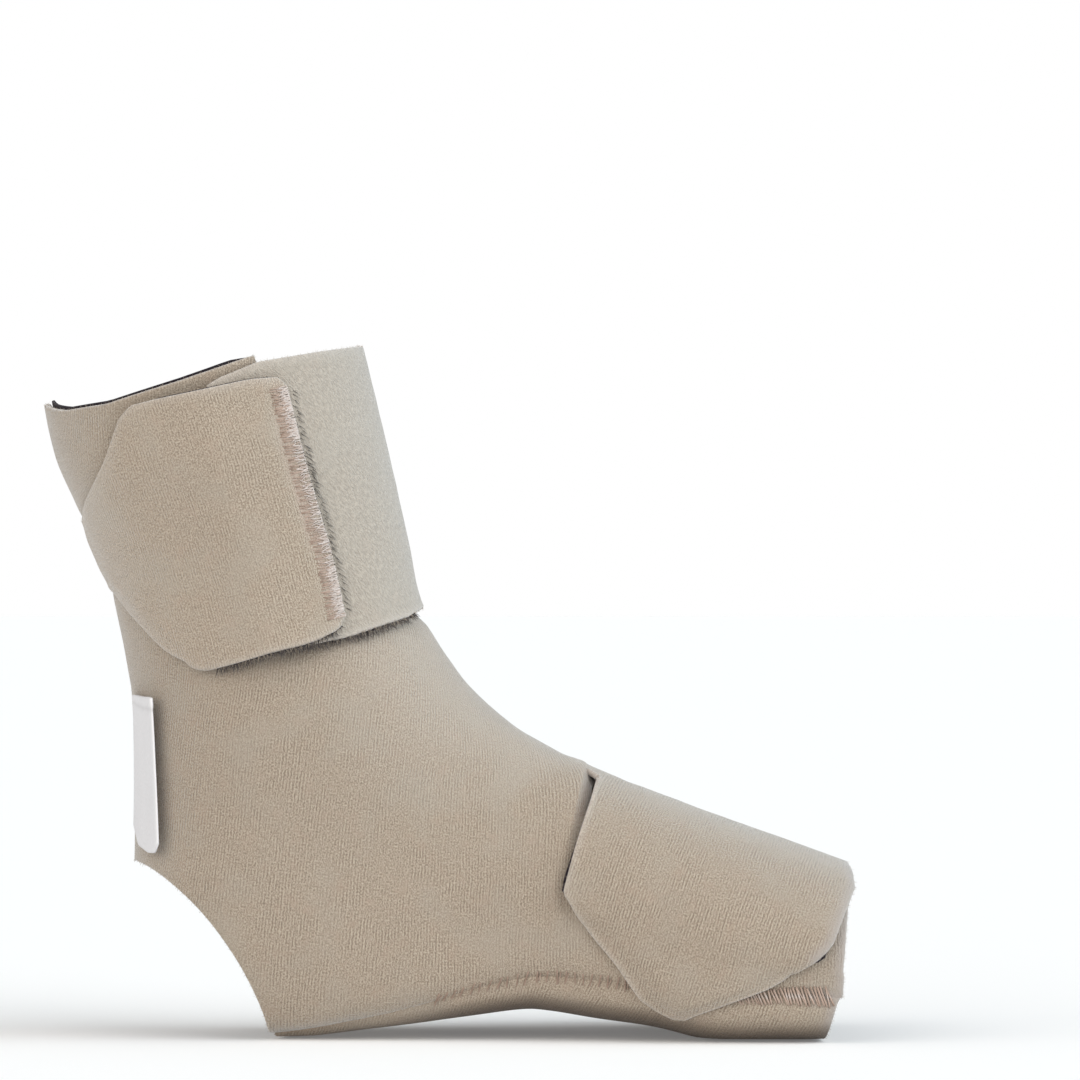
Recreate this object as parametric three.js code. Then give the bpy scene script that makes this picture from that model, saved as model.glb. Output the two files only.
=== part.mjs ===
// Foot compression sleeve for a left foot: an open-heel, open-toe wrap of plush-faced foam with a dark lining.
// It is closed by a broad strap and tab round the ankle and by a pointed strap over the forefoot.
// Millimetres. +X points to the toes, +Y to the outer (lateral) side, +Z up from the floor.
import * as THREE from "three";

// Driving sizes: thicknesses of the layers, from the skin outwards
const LINING = 1.0;
const PLUSH = 2.0;
const STRAP = 2.6;
const TAB = 2.4;
const LABEL = 1.0;
const GAP = 0.3; // air left between neighbouring pieces
const SEAT = 0.5; // air under the straps and along the sole seams, which clears the facets of the curved skin

// The heel hole seen from the side: a rounded quarter in the corner between Achilles and sole
const HEEL_HOLE = { length: 39.3, height: 49.6, roundness: 1.47 };

// Cross-sections of the outer face, each in a plane through its front and back points and across the foot.
// front and back are [x, z] from the back of the heel, on the shin-to-instep and Achilles-to-sole lines.
// medial and lateral are half-widths. widest says where they lie, from front 0 to back 1.
// roundFront and roundBack are the two halves' roundness: 2 an ellipse, more is squarer.
// ridge moves the front line towards the lateral side, seam is the sole seam's rise from the back point,
// and rings says where the skin has its rings on the way to the next section.
const SECTIONS = [
  { name: "rim", front: [61.6, 196.4], back: [-26.2, 180.1], medial: 41, lateral: 41,
    widest: 0.5, roundFront: 2.1, roundBack: 2, ridge: 0, seam: 0, rings: [0, 0.55] },
  { name: "calf", front: [68.4, 168.7], back: [-21.9, 162.2], medial: 40, lateral: 40,
    widest: 0.5, roundFront: 2.1, roundBack: 1.95, ridge: 0, seam: 0, rings: [0] },
  { name: "tab_top", front: [71.3, 155.6], back: [-14.3, 149.6], medial: 38, lateral: 38,
    widest: 0.5, roundFront: 2.1, roundBack: 1.9, ridge: 0, seam: 0, rings: [0, 0.5] },
  { name: "narrow", front: [75, 138.8], back: [-6, 129.4], medial: 36, lateral: 36,
    widest: 0.5, roundFront: 2.1, roundBack: 1.85, ridge: 0, seam: 0, rings: [0, 0.5] },
  { name: "strap_low", front: [79.3, 120.3], back: [-1.4, 99.8], medial: 35.5, lateral: 36.5,
    widest: 0.5, roundFront: 2.1, roundBack: 1.85, ridge: 0, seam: 0, rings: [0, 0.5] },
  { name: "strap_out", front: [82.7, 116.3], back: [-0.9, 95.5], medial: 36, lateral: 37,
    widest: 0.5, roundFront: 2.1, roundBack: 1.85, ridge: 0, seam: 0, rings: [0] },
  { name: "malleoli", front: [88.9, 106.9], back: [0, 69], medial: 38, lateral: 38.5,
    widest: 0.5, roundFront: 2.15, roundBack: 1.95, ridge: 0, seam: 0, rings: [0] },
  { name: "hole_top", front: [95.5, 98.6], back: [0, 49], medial: 37.5, lateral: 38,
    widest: 0.5, roundFront: 2.25, roundBack: 2.1, ridge: 0, seam: 0, rings: [0, 0.25, 0.6] },
  { name: "heel_back", front: [101.7, 92.3], back: [-0.3, 26.2], medial: 36.5, lateral: 37.5,
    widest: 0.52, roundFront: 2.4, roundBack: 2.3, ridge: 0, seam: 0, rings: [0, 0.5] },
  { name: "heel_turn", front: [108, 87.2], back: [8.6, 4.6], medial: 36, lateral: 37.5,
    widest: 0.54, roundFront: 2.5, roundBack: 2.6, ridge: 0, seam: 0, rings: [0, 0.5] },
  { name: "heel_base", front: [114.3, 83.4], back: [25.7, -1], medial: 35.5, lateral: 37.5,
    widest: 0.56, roundFront: 2.5, roundBack: 2.9, ridge: 0, seam: 1.5, rings: [0, 0.5] },
  { name: "hole_end", front: [118.8, 80.9], back: [39, -1.5], medial: 35.5, lateral: 38,
    widest: 0.58, roundFront: 2.45, roundBack: 3.1, ridge: 0, seam: 3, rings: [0, 0.5] },
  { name: "arch_back", front: [122.8, 78.9], back: [67, 1.7], medial: 35.5, lateral: 39.5,
    widest: 0.6, roundFront: 2.3, roundBack: 3.2, ridge: -1, seam: 4.2, rings: [0] },
  { name: "arch", front: [126, 77.8], back: [92.6, 5.1], medial: 36, lateral: 41.5,
    widest: 0.6, roundFront: 2.2, roundBack: 3.2, ridge: -2, seam: 9, rings: [0] },
  { name: "slot_back", front: [128.5, 76.7], back: [111.7, 7.4], medial: 37.5, lateral: 43.5,
    widest: 0.6, roundFront: 2.1, roundBack: 3.2, ridge: -3, seam: 10.4, rings: [0, 0.35, 0.7] },
  { name: "strap_back", front: [131.1, 72.1], back: [117.7, 7], medial: 38, lateral: 44.5,
    widest: 0.6, roundFront: 2.1, roundBack: 3.2, ridge: -3.5, seam: 10.8, rings: [0] },
  { name: "instep_low", front: [143.9, 67], back: [132.5, 4.8], medial: 40.5, lateral: 47,
    widest: 0.6, roundFront: 2.05, roundBack: 3.2, ridge: -4.5, seam: 11.8, rings: [0] },
  { name: "ball_back", front: [158.2, 61.6], back: [148.2, 2.3], medial: 43, lateral: 49.5,
    widest: 0.6, roundFront: 2, roundBack: 3.2, ridge: -5.5, seam: 12.4, rings: [0] },
  { name: "ball", front: [175.3, 55.4], back: [165.3, -1.5], medial: 45.5, lateral: 51.5,
    widest: 0.6, roundFront: 2, roundBack: 3.2, ridge: -6, seam: 14.5, rings: [0] },
  { name: "ball_front", front: [191, 49.9], back: [183.8, -1.5], medial: 46, lateral: 51,
    widest: 0.6, roundFront: 2, roundBack: 3.2, ridge: -6, seam: 14.5, rings: [0] },
  { name: "toe_rim", front: [204.1, 45], back: [199.8, -1], medial: 45.5, lateral: 49.5,
    widest: 0.6, roundFront: 2, roundBack: 3.2, ridge: -6, seam: 13.5, rings: [0] },
];
const at = (name) => SECTIONS.findIndex((section) => section.name === name);
const LAST = SECTIONS.length - 1;

// How far the leg rim drops below the first section, in sections. round is the share of the half turn from the
// front line 0 to the back line, 1 by the medial side and -1 by the lateral side.
const RIM_DROP = [
  { round: -1, drop: 0.1 },
  { round: -0.83, drop: 0.3 },
  { round: -0.65, drop: 0.28 },
  { round: -0.45, drop: 0.14 },
  { round: -0.375, drop: 0.1 },
  { round: 0.375, drop: 0 },
  { round: 0.45, drop: 0.07 },
  { round: 0.52, drop: 0.14 },
  { round: 0.61, drop: 0.21 },
  { round: 0.7, drop: 0.28 },
  { round: 0.83, drop: 0.27 },
  { round: 1, drop: 0.1 },
];

// The wrap's two openings, bridged by the straps: columns of the skin that are left out, and the sections between
const SKIN_COLUMNS = 32;
const ANKLE_SLOT = { fromColumn: 10, toColumn: 22, from: 0, to: at("strap_low") };
const FOREFOOT_SLOT = { fromColumn: 14, toColumn: 21, from: at("slot_back"), to: LAST };
const HOLE_COLUMNS = 2; // columns on each side of the back line that end at the heel hole's top edge
const SOLE_COLUMNS = 12;
const SOLE_BACK_CURVE = 0.18; // how far the sole's back edge bows forward, in sections
const SOLE_TOE_CURVE = 0.3; // how far the sole's toe edge bows back, in sections

// Straps: each row is a line across the strap, from one edge to the other.
// turn goes round the foot, from 0 at the front to 1 at the back on the medial side, negative on the lateral side.
// The two sections of a row are where its edges lie, and lift is how far it stands off what it covers.
const ANKLE_STRAP = [
  { turn: -0.62, section: 0.1, turn2: -0.62, section2: 4.7, lift: 0 },
  { turn: -0.3, section: 0.08, turn2: -0.3, section2: 4.6, lift: 0 },
  { turn: -0.1, section: 0.08, turn2: -0.1, section2: 4.4, lift: 0 },
  { turn: 0, section: 0.08, turn2: 0, section2: 4.03, lift: 0 },
  { turn: 0.06, section: 0.08, turn2: 0.05, section2: 4.4, lift: 0 },
  { turn: 0.3, section: 0.08, turn2: 0.25, section2: 4.65, lift: 0 },
  { turn: 0.42, section: 0.18, turn2: 0.41, section2: 4.42, lift: 0 },
  { turn: 0.46, section: 0.24, turn2: 0.45, section2: 4.2, lift: 0 },
];
const OVER_STRAP = STRAP + SEAT;
const ANKLE_TAB = [
  { turn: 0.26, section: 0.4, turn2: 0.249, section2: 3.8, lift: OVER_STRAP },
  { turn: 0.286, section: 0.26, turn2: 0.285, section2: 4.05, lift: OVER_STRAP },
  { turn: 0.345, section: 0.25, turn2: 0.39, section2: 4.5, lift: OVER_STRAP },
  { turn: 0.49, section: 0.28, turn2: 0.497, section2: 4.4, lift: OVER_STRAP },
  { turn: 0.628, section: 0.31, turn2: 0.643, section2: 4.36, lift: 0.5 },
  { turn: 0.703, section: 0.34, turn2: 0.706, section2: 4.35, lift: 0 },
  { turn: 0.747, section: 0.48, turn2: 0.769, section2: 3.89, lift: 0 },
  { turn: 0.8, section: 0.85, turn2: 0.832, section2: 3.72, lift: 0 },
  { turn: 0.876, section: 1.43, turn2: 0.897, section2: 3.47, lift: 0 },
  { turn: 0.952, section: 1.95, turn2: 0.948, section2: 3.28, lift: 0 },
  { turn: 1, section: 2.24, turn2: 1, section2: 3.08, lift: 0 },
  { turn: 1.025, section: 2.5, turn2: 1.025, section2: 2.95, lift: 0 },
];
const FOREFOOT_STRAP = [
  { turn: -0.7, section: 15.1, turn2: -0.7, section2: 19.8, lift: 0 },
  { turn: -0.3, section: 14.95, turn2: -0.3, section2: 19.92, lift: 0 },
  { turn: 0, section: 14.85, turn2: 0, section2: 19.95, lift: 0 },
  { turn: 0.1, section: 14.8, turn2: 0.1, section2: 19.9, lift: 0 },
  { turn: 0.3, section: 14.65, turn2: 0.25, section2: 19.76, lift: 0 },
  { turn: 0.49, section: 14.5, turn2: 0.41, section2: 19.6, lift: 0 },
  { turn: 0.51, section: 15, turn2: 0.455, section2: 19.5, lift: 0 },
  { turn: 0.61, section: 15.52, turn2: 0.515, section2: 19.32, lift: 0 },
  { turn: 0.724, section: 16.1, turn2: 0.605, section2: 18.92, lift: 0 },
  { turn: 0.79, section: 16.37, turn2: 0.688, section2: 18.58, lift: 0 },
  { turn: 0.853, section: 16.64, turn2: 0.77, section2: 18.05, lift: 0 },
  { turn: 0.887, section: 16.97, turn2: 0.85, section2: 17.6, lift: 0 },
  { turn: 0.902, section: 17.22, turn2: 0.892, section2: 17.4, lift: 0 },
];
const BACK_LABEL = [
  { turn: 0.888, section: 5.06, turn2: 0.889, section2: 7.1, lift: 2.2 },
  { turn: 0.934, section: 5.02, turn2: 0.934, section2: 7.02, lift: 0.9 },
  { turn: 0.97, section: 4.97, turn2: 0.97, section2: 6.83, lift: 0.3 },
  { turn: 1, section: 4.96, turn2: 1, section2: 6.5, lift: 0 },
];
const STRAP_COLUMNS = 8;
const LABEL_COLUMNS = 6;
const STRAP_TURN = 7.5; // degrees round the foot between two lines across a strap

// Smooth curves through the table's columns
function through(pick) {
  const curve = new THREE.CatmullRomCurve3(SECTIONS.map(pick), false, "centripetal");
  return (section) => curve.getPoint(THREE.MathUtils.clamp(section / LAST, 0, 1));
}
const frontLine = through((s) => new THREE.Vector3(s.front[0], 0, s.front[1]));
const backLine = through((s) => new THREE.Vector3(s.back[0], 0, s.back[1]));
const halfWidths = through((s) => new THREE.Vector3(s.medial, s.lateral, s.ridge));
const fullness = through((s) => new THREE.Vector3(s.roundFront, s.roundBack, 10 * s.widest));
const seamRise = through((s) => new THREE.Vector3(s.seam, 0, 0));

// A point of the outer face. angle is 0 on the front line, grows on the medial side and is pi on the back line.
function facePoint(section, angle) {
  const front = frontLine(section);
  const back = backLine(section);
  const width = halfWidths(section);
  const full = fullness(section);
  const middle = front.clone().lerp(back, full.z / 10);
  const forward = Math.cos(angle) >= 0;
  const power = 2 / (forward ? full.x : full.y);
  const reach = Math.abs(Math.cos(angle)) ** power;
  const spread = Math.abs(Math.sin(angle)) ** power;
  const point = middle.clone().lerp(forward ? front : back, reach);
  const medialSide = Math.sin(angle) >= 0;
  point.y = medialSide ? -width.x * spread : width.y * spread;
  if (forward) point.y += width.z * reach;
  point.z = Math.max(point.z, 0); // the cloth lies flat where it meets the floor
  return point;
}

// The outward direction of the face there
function faceNormal(section, angle) {
  const STEP = 0.02;
  const low = Math.max(section - STEP, 0);
  const high = Math.min(section + STEP, LAST);
  const along = facePoint(high, angle).sub(facePoint(low, angle));
  const round = facePoint(section, angle + STEP).sub(facePoint(section, angle - STEP));
  return round.cross(along).normalize();
}

// A point off the face by some height, which is negative towards the skin
function offFace(section, angle, height) {
  return facePoint(section, angle).addScaledVector(faceNormal(section, angle), height);
}

// The angle of a turn, which is measured in side view: 0 on the front line, 1 on the back line, past 1 the far side
function angleOf(turn, section) {
  if (turn < 0) return -angleOf(-turn, section);
  if (turn > 1) return 2 * Math.PI - angleOf(2 - turn, section);
  const full = fullness(section);
  const widest = full.z / 10;
  if (turn <= widest) return Math.acos(((widest - turn) / widest) ** (full.x / 2));
  return Math.PI - Math.acos(((turn - widest) / (1 - widest)) ** (full.y / 2));
}

// The turn at which a section meets the heel hole's edge
function holeTurn(section) {
  const front = frontLine(section);
  const back = backLine(section);
  const outside = (turn) => {
    const point = front.clone().lerp(back, turn);
    const length = Math.max(point.x, 0) / HEEL_HOLE.length;
    const height = Math.max(point.z, 0) / HEEL_HOLE.height;
    return length ** HEEL_HOLE.roundness + height ** HEEL_HOLE.roundness >= 1;
  };
  if (outside(1)) return 1;
  let [fabric, hole] = [0, 1];
  for (let i = 0; i < 30; i += 1) {
    const middle = (fabric + hole) / 2;
    if (outside(middle)) fabric = middle;
    else hole = middle;
  }
  return fabric;
}

// The turn of the upper's lower edge: the back line at the leg, then the heel hole's edge, then the sole seam
function edgeTurn(section, inset) {
  const height = frontLine(section).distanceTo(backLine(section));
  const seam = 1 - Math.max(seamRise(section).x + inset, 0) / height;
  return section < at("hole_end") ? Math.min(holeTurn(section), seam) : seam;
}

// The rim's drop between the rows of its table
function rimDrop(round) {
  const next = Math.max(1, RIM_DROP.findIndex((row) => row.round >= round));
  const [a, b] = [RIM_DROP[next - 1], RIM_DROP[next]];
  return THREE.MathUtils.mapLinear(round, a.round, b.round, a.drop, b.drop);
}

// A closed solid from a grid of points: its two faces, and a wall round every edge of the cells that are there.
// point(i, j, side) gives the outer (0) and inner (1) corner, shared(i) joins the row's last corner to its first.
function shellGeometry({ rows, columns, point, present = () => true, shared = () => false }) {
  const positions = [];
  const numbers = new Map();
  const corner = (i, j) => {
    const key = `${i} ${j === columns && shared(i) ? 0 : j}`;
    if (!numbers.has(key)) {
      numbers.set(key, positions.length / 6);
      positions.push(...point(i, j, 0).toArray(), ...point(i, j, 1).toArray());
    }
    return numbers.get(key);
  };
  const faces = [];
  const sides = new Map();
  const outer = (k) => 2 * k;
  const inner = (k) => 2 * k + 1;
  for (let i = 0; i < rows; i += 1) {
    for (let j = 0; j < columns; j += 1) {
      if (!present(i, j)) continue;
      const cell = [corner(i, j), corner(i, j + 1), corner(i + 1, j + 1), corner(i + 1, j)];
      const [a, b, c, d] = cell;
      faces.push(outer(a), outer(b), outer(c), outer(a), outer(c), outer(d));
      faces.push(inner(a), inner(c), inner(b), inner(a), inner(d), inner(c));
      cell.forEach((from, k) => sides.set(`${from} ${cell[(k + 1) % 4]}`, [from, cell[(k + 1) % 4]]));
    }
  }
  for (const [from, to] of sides.values()) {
    if (sides.has(`${to} ${from}`)) continue;
    faces.push(outer(to), outer(from), inner(from), outer(to), inner(from), inner(to));
  }
  const geometry = new THREE.BufferGeometry();
  geometry.setAttribute("position", new THREE.Float32BufferAttribute(positions, 3));
  geometry.setIndex(faces);
  geometry.computeVertexNormals();
  return geometry;
}

// The sections at which the skin has its rings
function ringSections(first, last) {
  const rings = [];
  for (let i = first; i < last; i += 1) rings.push(...SECTIONS[i].rings.map((share) => i + share));
  return [...rings, last];
}

// The boot-shaped panel, from the leg rim to the toe rim, with the heel hole and the wrap's two slots left out
function upperGeometry(outside, inside) {
  const rings = ringSections(0, LAST);
  const inSlot = (slot, ring, j) =>
    ring >= slot.from && ring < slot.to && j >= slot.fromColumn && j < slot.toColumn;
  const inHole = (ring, j) =>
    ring >= at("hole_top") && (j < HOLE_COLUMNS || j >= SKIN_COLUMNS - HOLE_COLUMNS);
  return shellGeometry({
    rows: rings.length - 1,
    columns: SKIN_COLUMNS,
    shared: (i) => rings[i] <= at("hole_top"),
    present: (i, j) =>
      !inSlot(ANKLE_SLOT, rings[i], j) && !inSlot(FOREFOOT_SLOT, rings[i], j) && !inHole(rings[i], j),
    point: (i, j, side) => {
      const legRing = rings[i] <= at("hole_top");
      const round = (j - SKIN_COLUMNS / 2) / (SKIN_COLUMNS / 2 - (legRing ? 0 : HOLE_COLUMNS));
      const ring = i === 0 ? rimDrop(round) : rings[i];
      const edge = legRing ? Math.PI : angleOf(edgeTurn(ring, 0), ring);
      return offFace(ring, round * edge, side === 0 ? outside : inside);
    },
  });
}

// The panel under the foot, from the heel hole's end to the toe rim, between the two seams
function soleGeometry(outside, inside) {
  const rings = ringSections(at("hole_end"), LAST);
  return shellGeometry({
    rows: rings.length - 1,
    columns: SOLE_COLUMNS,
    point: (i, j, side) => {
      const across = (2 * j) / SOLE_COLUMNS - 1;
      const bow = 1 - across * across;
      let ring = rings[i];
      if (i === 0) ring += SOLE_BACK_CURVE * bow;
      if (i === rings.length - 1) ring -= SOLE_TOE_CURVE * bow;
      const edge = angleOf(edgeTurn(ring, -SEAT), ring);
      return offFace(ring, Math.PI + across * (Math.PI - edge), side === 0 ? outside : inside);
    },
  });
}

// A strap wrapped over the skin: the lines of its table with steps between them, each crossed from edge to edge
function strapGeometry(table, thickness, columns) {
  const lerp = THREE.MathUtils.lerp;
  const across = (row, share) => {
    const section = lerp(row.section, row.section2, share);
    return { section, angle: angleOf(lerp(row.turn, row.turn2, share), section), lift: row.lift };
  };
  const lines = [];
  for (let k = 0; k + 1 < table.length; k += 1) {
    const sweep = across(table[k + 1], 0.5).angle - across(table[k], 0.5).angle;
    const steps = Math.ceil(THREE.MathUtils.radToDeg(sweep) / STRAP_TURN);
    for (let n = 0; n < steps; n += 1) lines.push({ from: table[k], to: table[k + 1], share: n / steps });
  }
  lines.push({ from: table.at(-1), to: table.at(-1), share: 0 });
  return shellGeometry({
    rows: columns,
    columns: lines.length - 1,
    point: (i, j, side) => {
      const line = lines[j];
      const ends = [across(line.from, i / columns), across(line.to, i / columns)];
      const between = (key) => lerp(ends[0][key], ends[1][key], line.share);
      const base = SEAT + between("lift");
      return offFace(between("section"), between("angle"), side === 0 ? base + thickness : base);
    },
  });
}

// Finishes
const finish = (color, roughness) => new THREE.MeshStandardMaterial({ color, roughness, metalness: 0 });
const plushCloth = finish(0xb8aa95, 0.95);
const darkCloth = finish(0x2b2629, 0.95);
const whiteSatin = finish(0xeceaea, 0.5);

// Assembly, in the foot's own frame: x from the back of the heel
const foot = new THREE.Group();
function add(name, geometry, material) {
  const mesh = new THREE.Mesh(geometry, material);
  mesh.name = name;
  foot.add(mesh);
}
const lined = { outside: -PLUSH - GAP, inside: -PLUSH - GAP - LINING };
add("upper_panel", upperGeometry(0, -PLUSH), plushCloth);
add("upper_lining", upperGeometry(lined.outside, lined.inside), darkCloth);
add("sole_panel", soleGeometry(0, -PLUSH), plushCloth);
add("sole_lining", soleGeometry(lined.outside, lined.inside), darkCloth);
add("ankle_strap", strapGeometry(ANKLE_STRAP, STRAP, STRAP_COLUMNS), plushCloth);
add("ankle_tab", strapGeometry(ANKLE_TAB, TAB, STRAP_COLUMNS), plushCloth);
add("forefoot_strap", strapGeometry(FOREFOOT_STRAP, STRAP, STRAP_COLUMNS), plushCloth);
add("label", strapGeometry(BACK_LABEL, LABEL, LABEL_COLUMNS), whiteSatin);

// The part's origin is under the middle of its box, on the floor
const box = new THREE.Box3().setFromObject(foot);
const centre = box.getCenter(new THREE.Vector3());
foot.position.set(-centre.x, -centre.y, -box.min.z);
const sleeve = new THREE.Group();
sleeve.add(foot);
export default sleeve;
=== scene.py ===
# Foot compression sleeve: a boot-shaped wrap of plush-faced foam cloth with a dark lining, open at heel and toes,
# sewn along both sides of the sole and closed by straps round the ankle and over the forefoot.
import math
import random

import bpy
import numpy as np
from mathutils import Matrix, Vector, kdtree, noise


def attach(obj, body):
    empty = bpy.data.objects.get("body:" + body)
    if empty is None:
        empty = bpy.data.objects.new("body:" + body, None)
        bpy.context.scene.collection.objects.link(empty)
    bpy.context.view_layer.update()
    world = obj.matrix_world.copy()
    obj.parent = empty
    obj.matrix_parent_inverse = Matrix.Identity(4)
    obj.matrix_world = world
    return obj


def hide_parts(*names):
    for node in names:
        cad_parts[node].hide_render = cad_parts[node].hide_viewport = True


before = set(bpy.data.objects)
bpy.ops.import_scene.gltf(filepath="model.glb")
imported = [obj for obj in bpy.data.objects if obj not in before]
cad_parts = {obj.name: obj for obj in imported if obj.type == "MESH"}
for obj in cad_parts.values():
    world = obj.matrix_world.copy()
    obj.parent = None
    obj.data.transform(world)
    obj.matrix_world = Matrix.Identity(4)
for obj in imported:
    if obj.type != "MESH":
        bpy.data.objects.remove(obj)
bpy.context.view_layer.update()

random.seed(11)

# Sizes, in millimetres
BOOT_PLACE = np.array([-89.373, -2.501, 0.0])  # of the boot's own frame, whose x starts at the back of the heel
PLUSH = 2.0
LINING = 1.0
STRAP = 2.6
TAB = 2.4
SEAT = 0.5  # air under the straps
STRAP_PLUSH = 1.7  # the beige layer of a strap, the rest is its dark backing
TAB_PLUSH = 1.6
FINE = 1.5  # mesh spacing of the plush layers
COARSE = 2.6  # mesh spacing of the linings

# Sections of the outer face, from the leg rim to the toe rim, each across the boot through a point of its front line
# and one of its back line: front x z, back x z, half-widths medial and lateral, where they are widest from front 0
# to back 1, roundness of the front and back halves, the ridge's shift to the lateral side, the seam's rise
SECTIONS = np.array([
    [61.6, 196.4, -26.2, 180.1, 41, 41, 0.5, 2.1, 2, 0, 0],
    [68.4, 168.7, -21.9, 162.2, 40, 40, 0.5, 2.1, 1.95, 0, 0],
    [71.3, 155.6, -16.5, 149.6, 38, 38, 0.5, 2.1, 1.9, 0, 0],
    [75, 138.8, -8, 129.4, 36, 36, 0.5, 2.1, 1.85, 0, 0],
    [79.3, 120.3, -1.4, 99.8, 35.5, 36.5, 0.5, 2.1, 1.85, 0, 0],
    [82.7, 116.3, -0.9, 95.5, 36, 37, 0.5, 2.1, 1.85, 0, 0],
    [88.9, 106.9, 0, 69, 38, 38.5, 0.5, 2.15, 1.95, 0, 0],
    [95.5, 98.6, 0, 49, 37.5, 38, 0.5, 2.25, 2.1, 0, 0],
    [101.7, 92.3, -0.3, 26.2, 36.5, 37.5, 0.52, 2.4, 2.3, 0, 0],
    [108, 87.2, 8.6, 4.6, 36, 37.5, 0.54, 2.5, 2.6, 0, 0],
    [114.3, 83.4, 25.7, -1, 35.5, 37.5, 0.56, 2.5, 2.9, 0, 1.5],
    [118.8, 80.9, 39, -1.5, 35.5, 38, 0.58, 2.45, 3.4, 0, 3],
    [122.8, 78.9, 67, 1.7, 35.5, 39.5, 0.6, 2.3, 4.2, -1, 5.6],
    [126, 77.8, 92.6, 5.1, 36, 41.5, 0.6, 2.2, 4.4, -2, 10],
    [128.5, 76.7, 111.7, 7.4, 37.5, 43.5, 0.6, 2.1, 4.4, -3, 10.4],
    [131.1, 72.1, 117.7, 7, 38, 44.5, 0.6, 2.1, 4.4, -3.5, 10.8],
    [143.9, 67, 132.5, 4.8, 40.5, 47, 0.6, 2.05, 4.4, -4.5, 11.8],
    [158.2, 61.6, 148.2, 2.3, 43, 49.5, 0.6, 2, 4.2, -5.5, 12.4],
    [175.3, 55.4, 165.3, -1.5, 45.5, 51.5, 0.6, 2, 4, -6, 14.5],
    [191, 49.9, 183.8, -1.5, 46, 51, 0.6, 2, 4, -6, 14.5],
    [204.1, 45, 199.8, -1, 45.5, 49.5, 0.6, 2, 4, -6, 13.5],
], float)
LAST = len(SECTIONS) - 1
STRAP_LOW, HOLE_TOP, HOLE_END, SLOT_BACK = 4, 7, 11, 14  # sections where openings begin or end
HEEL_HOLE = {"length": 39.3, "height": 49.6, "roundness": 1.47}

# Columns of the upper round a section, from the back line by the lateral side, the front and the medial side
FRONT_COLUMN, LAST_COLUMN = 16, 32
UPPER_STOPS = np.array([0, 2, 10, 14, 16, 21, 22, 30, 32])  # columns where edges lie
UPPER_COUNTS = {FINE: [10, 40, 20, 10, 25, 5, 40, 10], COARSE: [5, 22, 10, 5, 13, 3, 22, 5]}  # cells between them
HOLE_REACH = 14  # columns from the front line to the heel hole
HOLE_CORNER = HOLE_REACH / FRONT_COLUMN * np.pi  # angle where the heel hole's top edge turns down
SIDE_REACH = 8  # columns from the front line that don't bend to the heel hole's top edge
ANKLE_SLOT = (10, 22)  # columns of the slot under the ankle strap
FOREFOOT_SLOT = (14, 21)  # columns of the slot under the forefoot strap
SLOT_STEP = 17.2  # column where the forefoot slot's back edge steps back
SLOT_STARTS = (SLOT_BACK + 1.8, SLOT_BACK + 0.9)  # sections of that edge before and after the step
HOLE_BLEND, RIM_BLEND, TOE_BLEND = 0.9, 0.55, 1.5  # sections over which rows bend to the openings' edges

# The leg rim's drop in sections, over the share of the half turn: 1 the back line by the medial side
RIM_DROP = np.array([
    [-1, 0.1], [-0.83, 0.3], [-0.65, 0.28], [-0.45, 0.14], [-0.375, 0.1], [0.375, 0],
    [0.45, 0.07], [0.52, 0.14], [0.61, 0.21], [0.7, 0.28], [0.83, 0.27], [1, 0.1],
])

# Straps, line by line: turn and section of the upper edge, then of the lower edge, and the lift off the face.
# turn goes from 0 at the front to 1 at the back by the medial side, negative by the lateral side.
OVER_STRAP = STRAP + SEAT
ANKLE_STRAP = [
    [-0.62, 0.1, -0.62, 4.7, 0], [-0.3, 0.08, -0.3, 4.6, 0], [-0.1, 0.08, -0.1, 4.4, 0],
    [0, 0.08, 0, 4.03, 0], [0.06, 0.08, 0.05, 4.4, 0], [0.3, 0.08, 0.25, 4.65, 0],
    [0.42, 0.18, 0.41, 4.42, 0], [0.46, 0.24, 0.45, 4.2, 0],
]
ANKLE_TAB = [
    [0.248, 0.36, 0.245, 3.8, OVER_STRAP], [0.264, 0.27, 0.283, 4.05, OVER_STRAP],
    [0.345, 0.25, 0.39, 4.5, OVER_STRAP], [0.49, 0.28, 0.497, 4.4, OVER_STRAP],
    [0.628, 0.31, 0.643, 4.36, 0.5], [0.703, 0.34, 0.706, 4.35, 0], [0.747, 0.48, 0.769, 3.89, 0],
    [0.8, 0.85, 0.832, 3.72, 0], [0.876, 1.43, 0.897, 3.47, 0], [0.952, 1.95, 0.948, 3.28, 0],
    [1, 2.24, 1, 3.08, 0], [1.025, 2.5, 1.025, 2.95, 0],
]
FOREFOOT_STRAP = [
    [-0.7, 15.1, -0.7, 19.8, 0], [-0.3, 14.95, -0.3, 19.88, 0], [-0.05, 14.87, -0.05, 19.85, 0],
    [0, 14.85, 0, 19.8, 0], [0.04, 14.83, 0.04, 19.88, 0], [0.1, 14.8, 0.1, 19.93, 0],
    [0.3, 14.65, 0.25, 19.76, 0], [0.49, 14.57, 0.41, 19.6, 0],
    [0.51, 15, 0.455, 19.5, 0], [0.61, 15.52, 0.515, 19.32, 0], [0.724, 16.1, 0.605, 18.92, 0],
    [0.79, 16.37, 0.688, 18.58, 0], [0.853, 16.64, 0.77, 18.05, 0], [0.887, 16.97, 0.85, 17.6, 0],
    [0.902, 17.22, 0.892, 17.4, 0],
]
BACK_LABEL = [
    [0.98, 4.96, 0.99, 6.5, 0], [0.963, 5, 0.97, 6.83, 0.3], [0.934, 5.06, 0.934, 7.02, 0.9],
    [0.898, 5.1, 0.9, 7.1, 2.6], [0.888, 5.13, 0.889, 7, 3.0],
]


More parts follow.
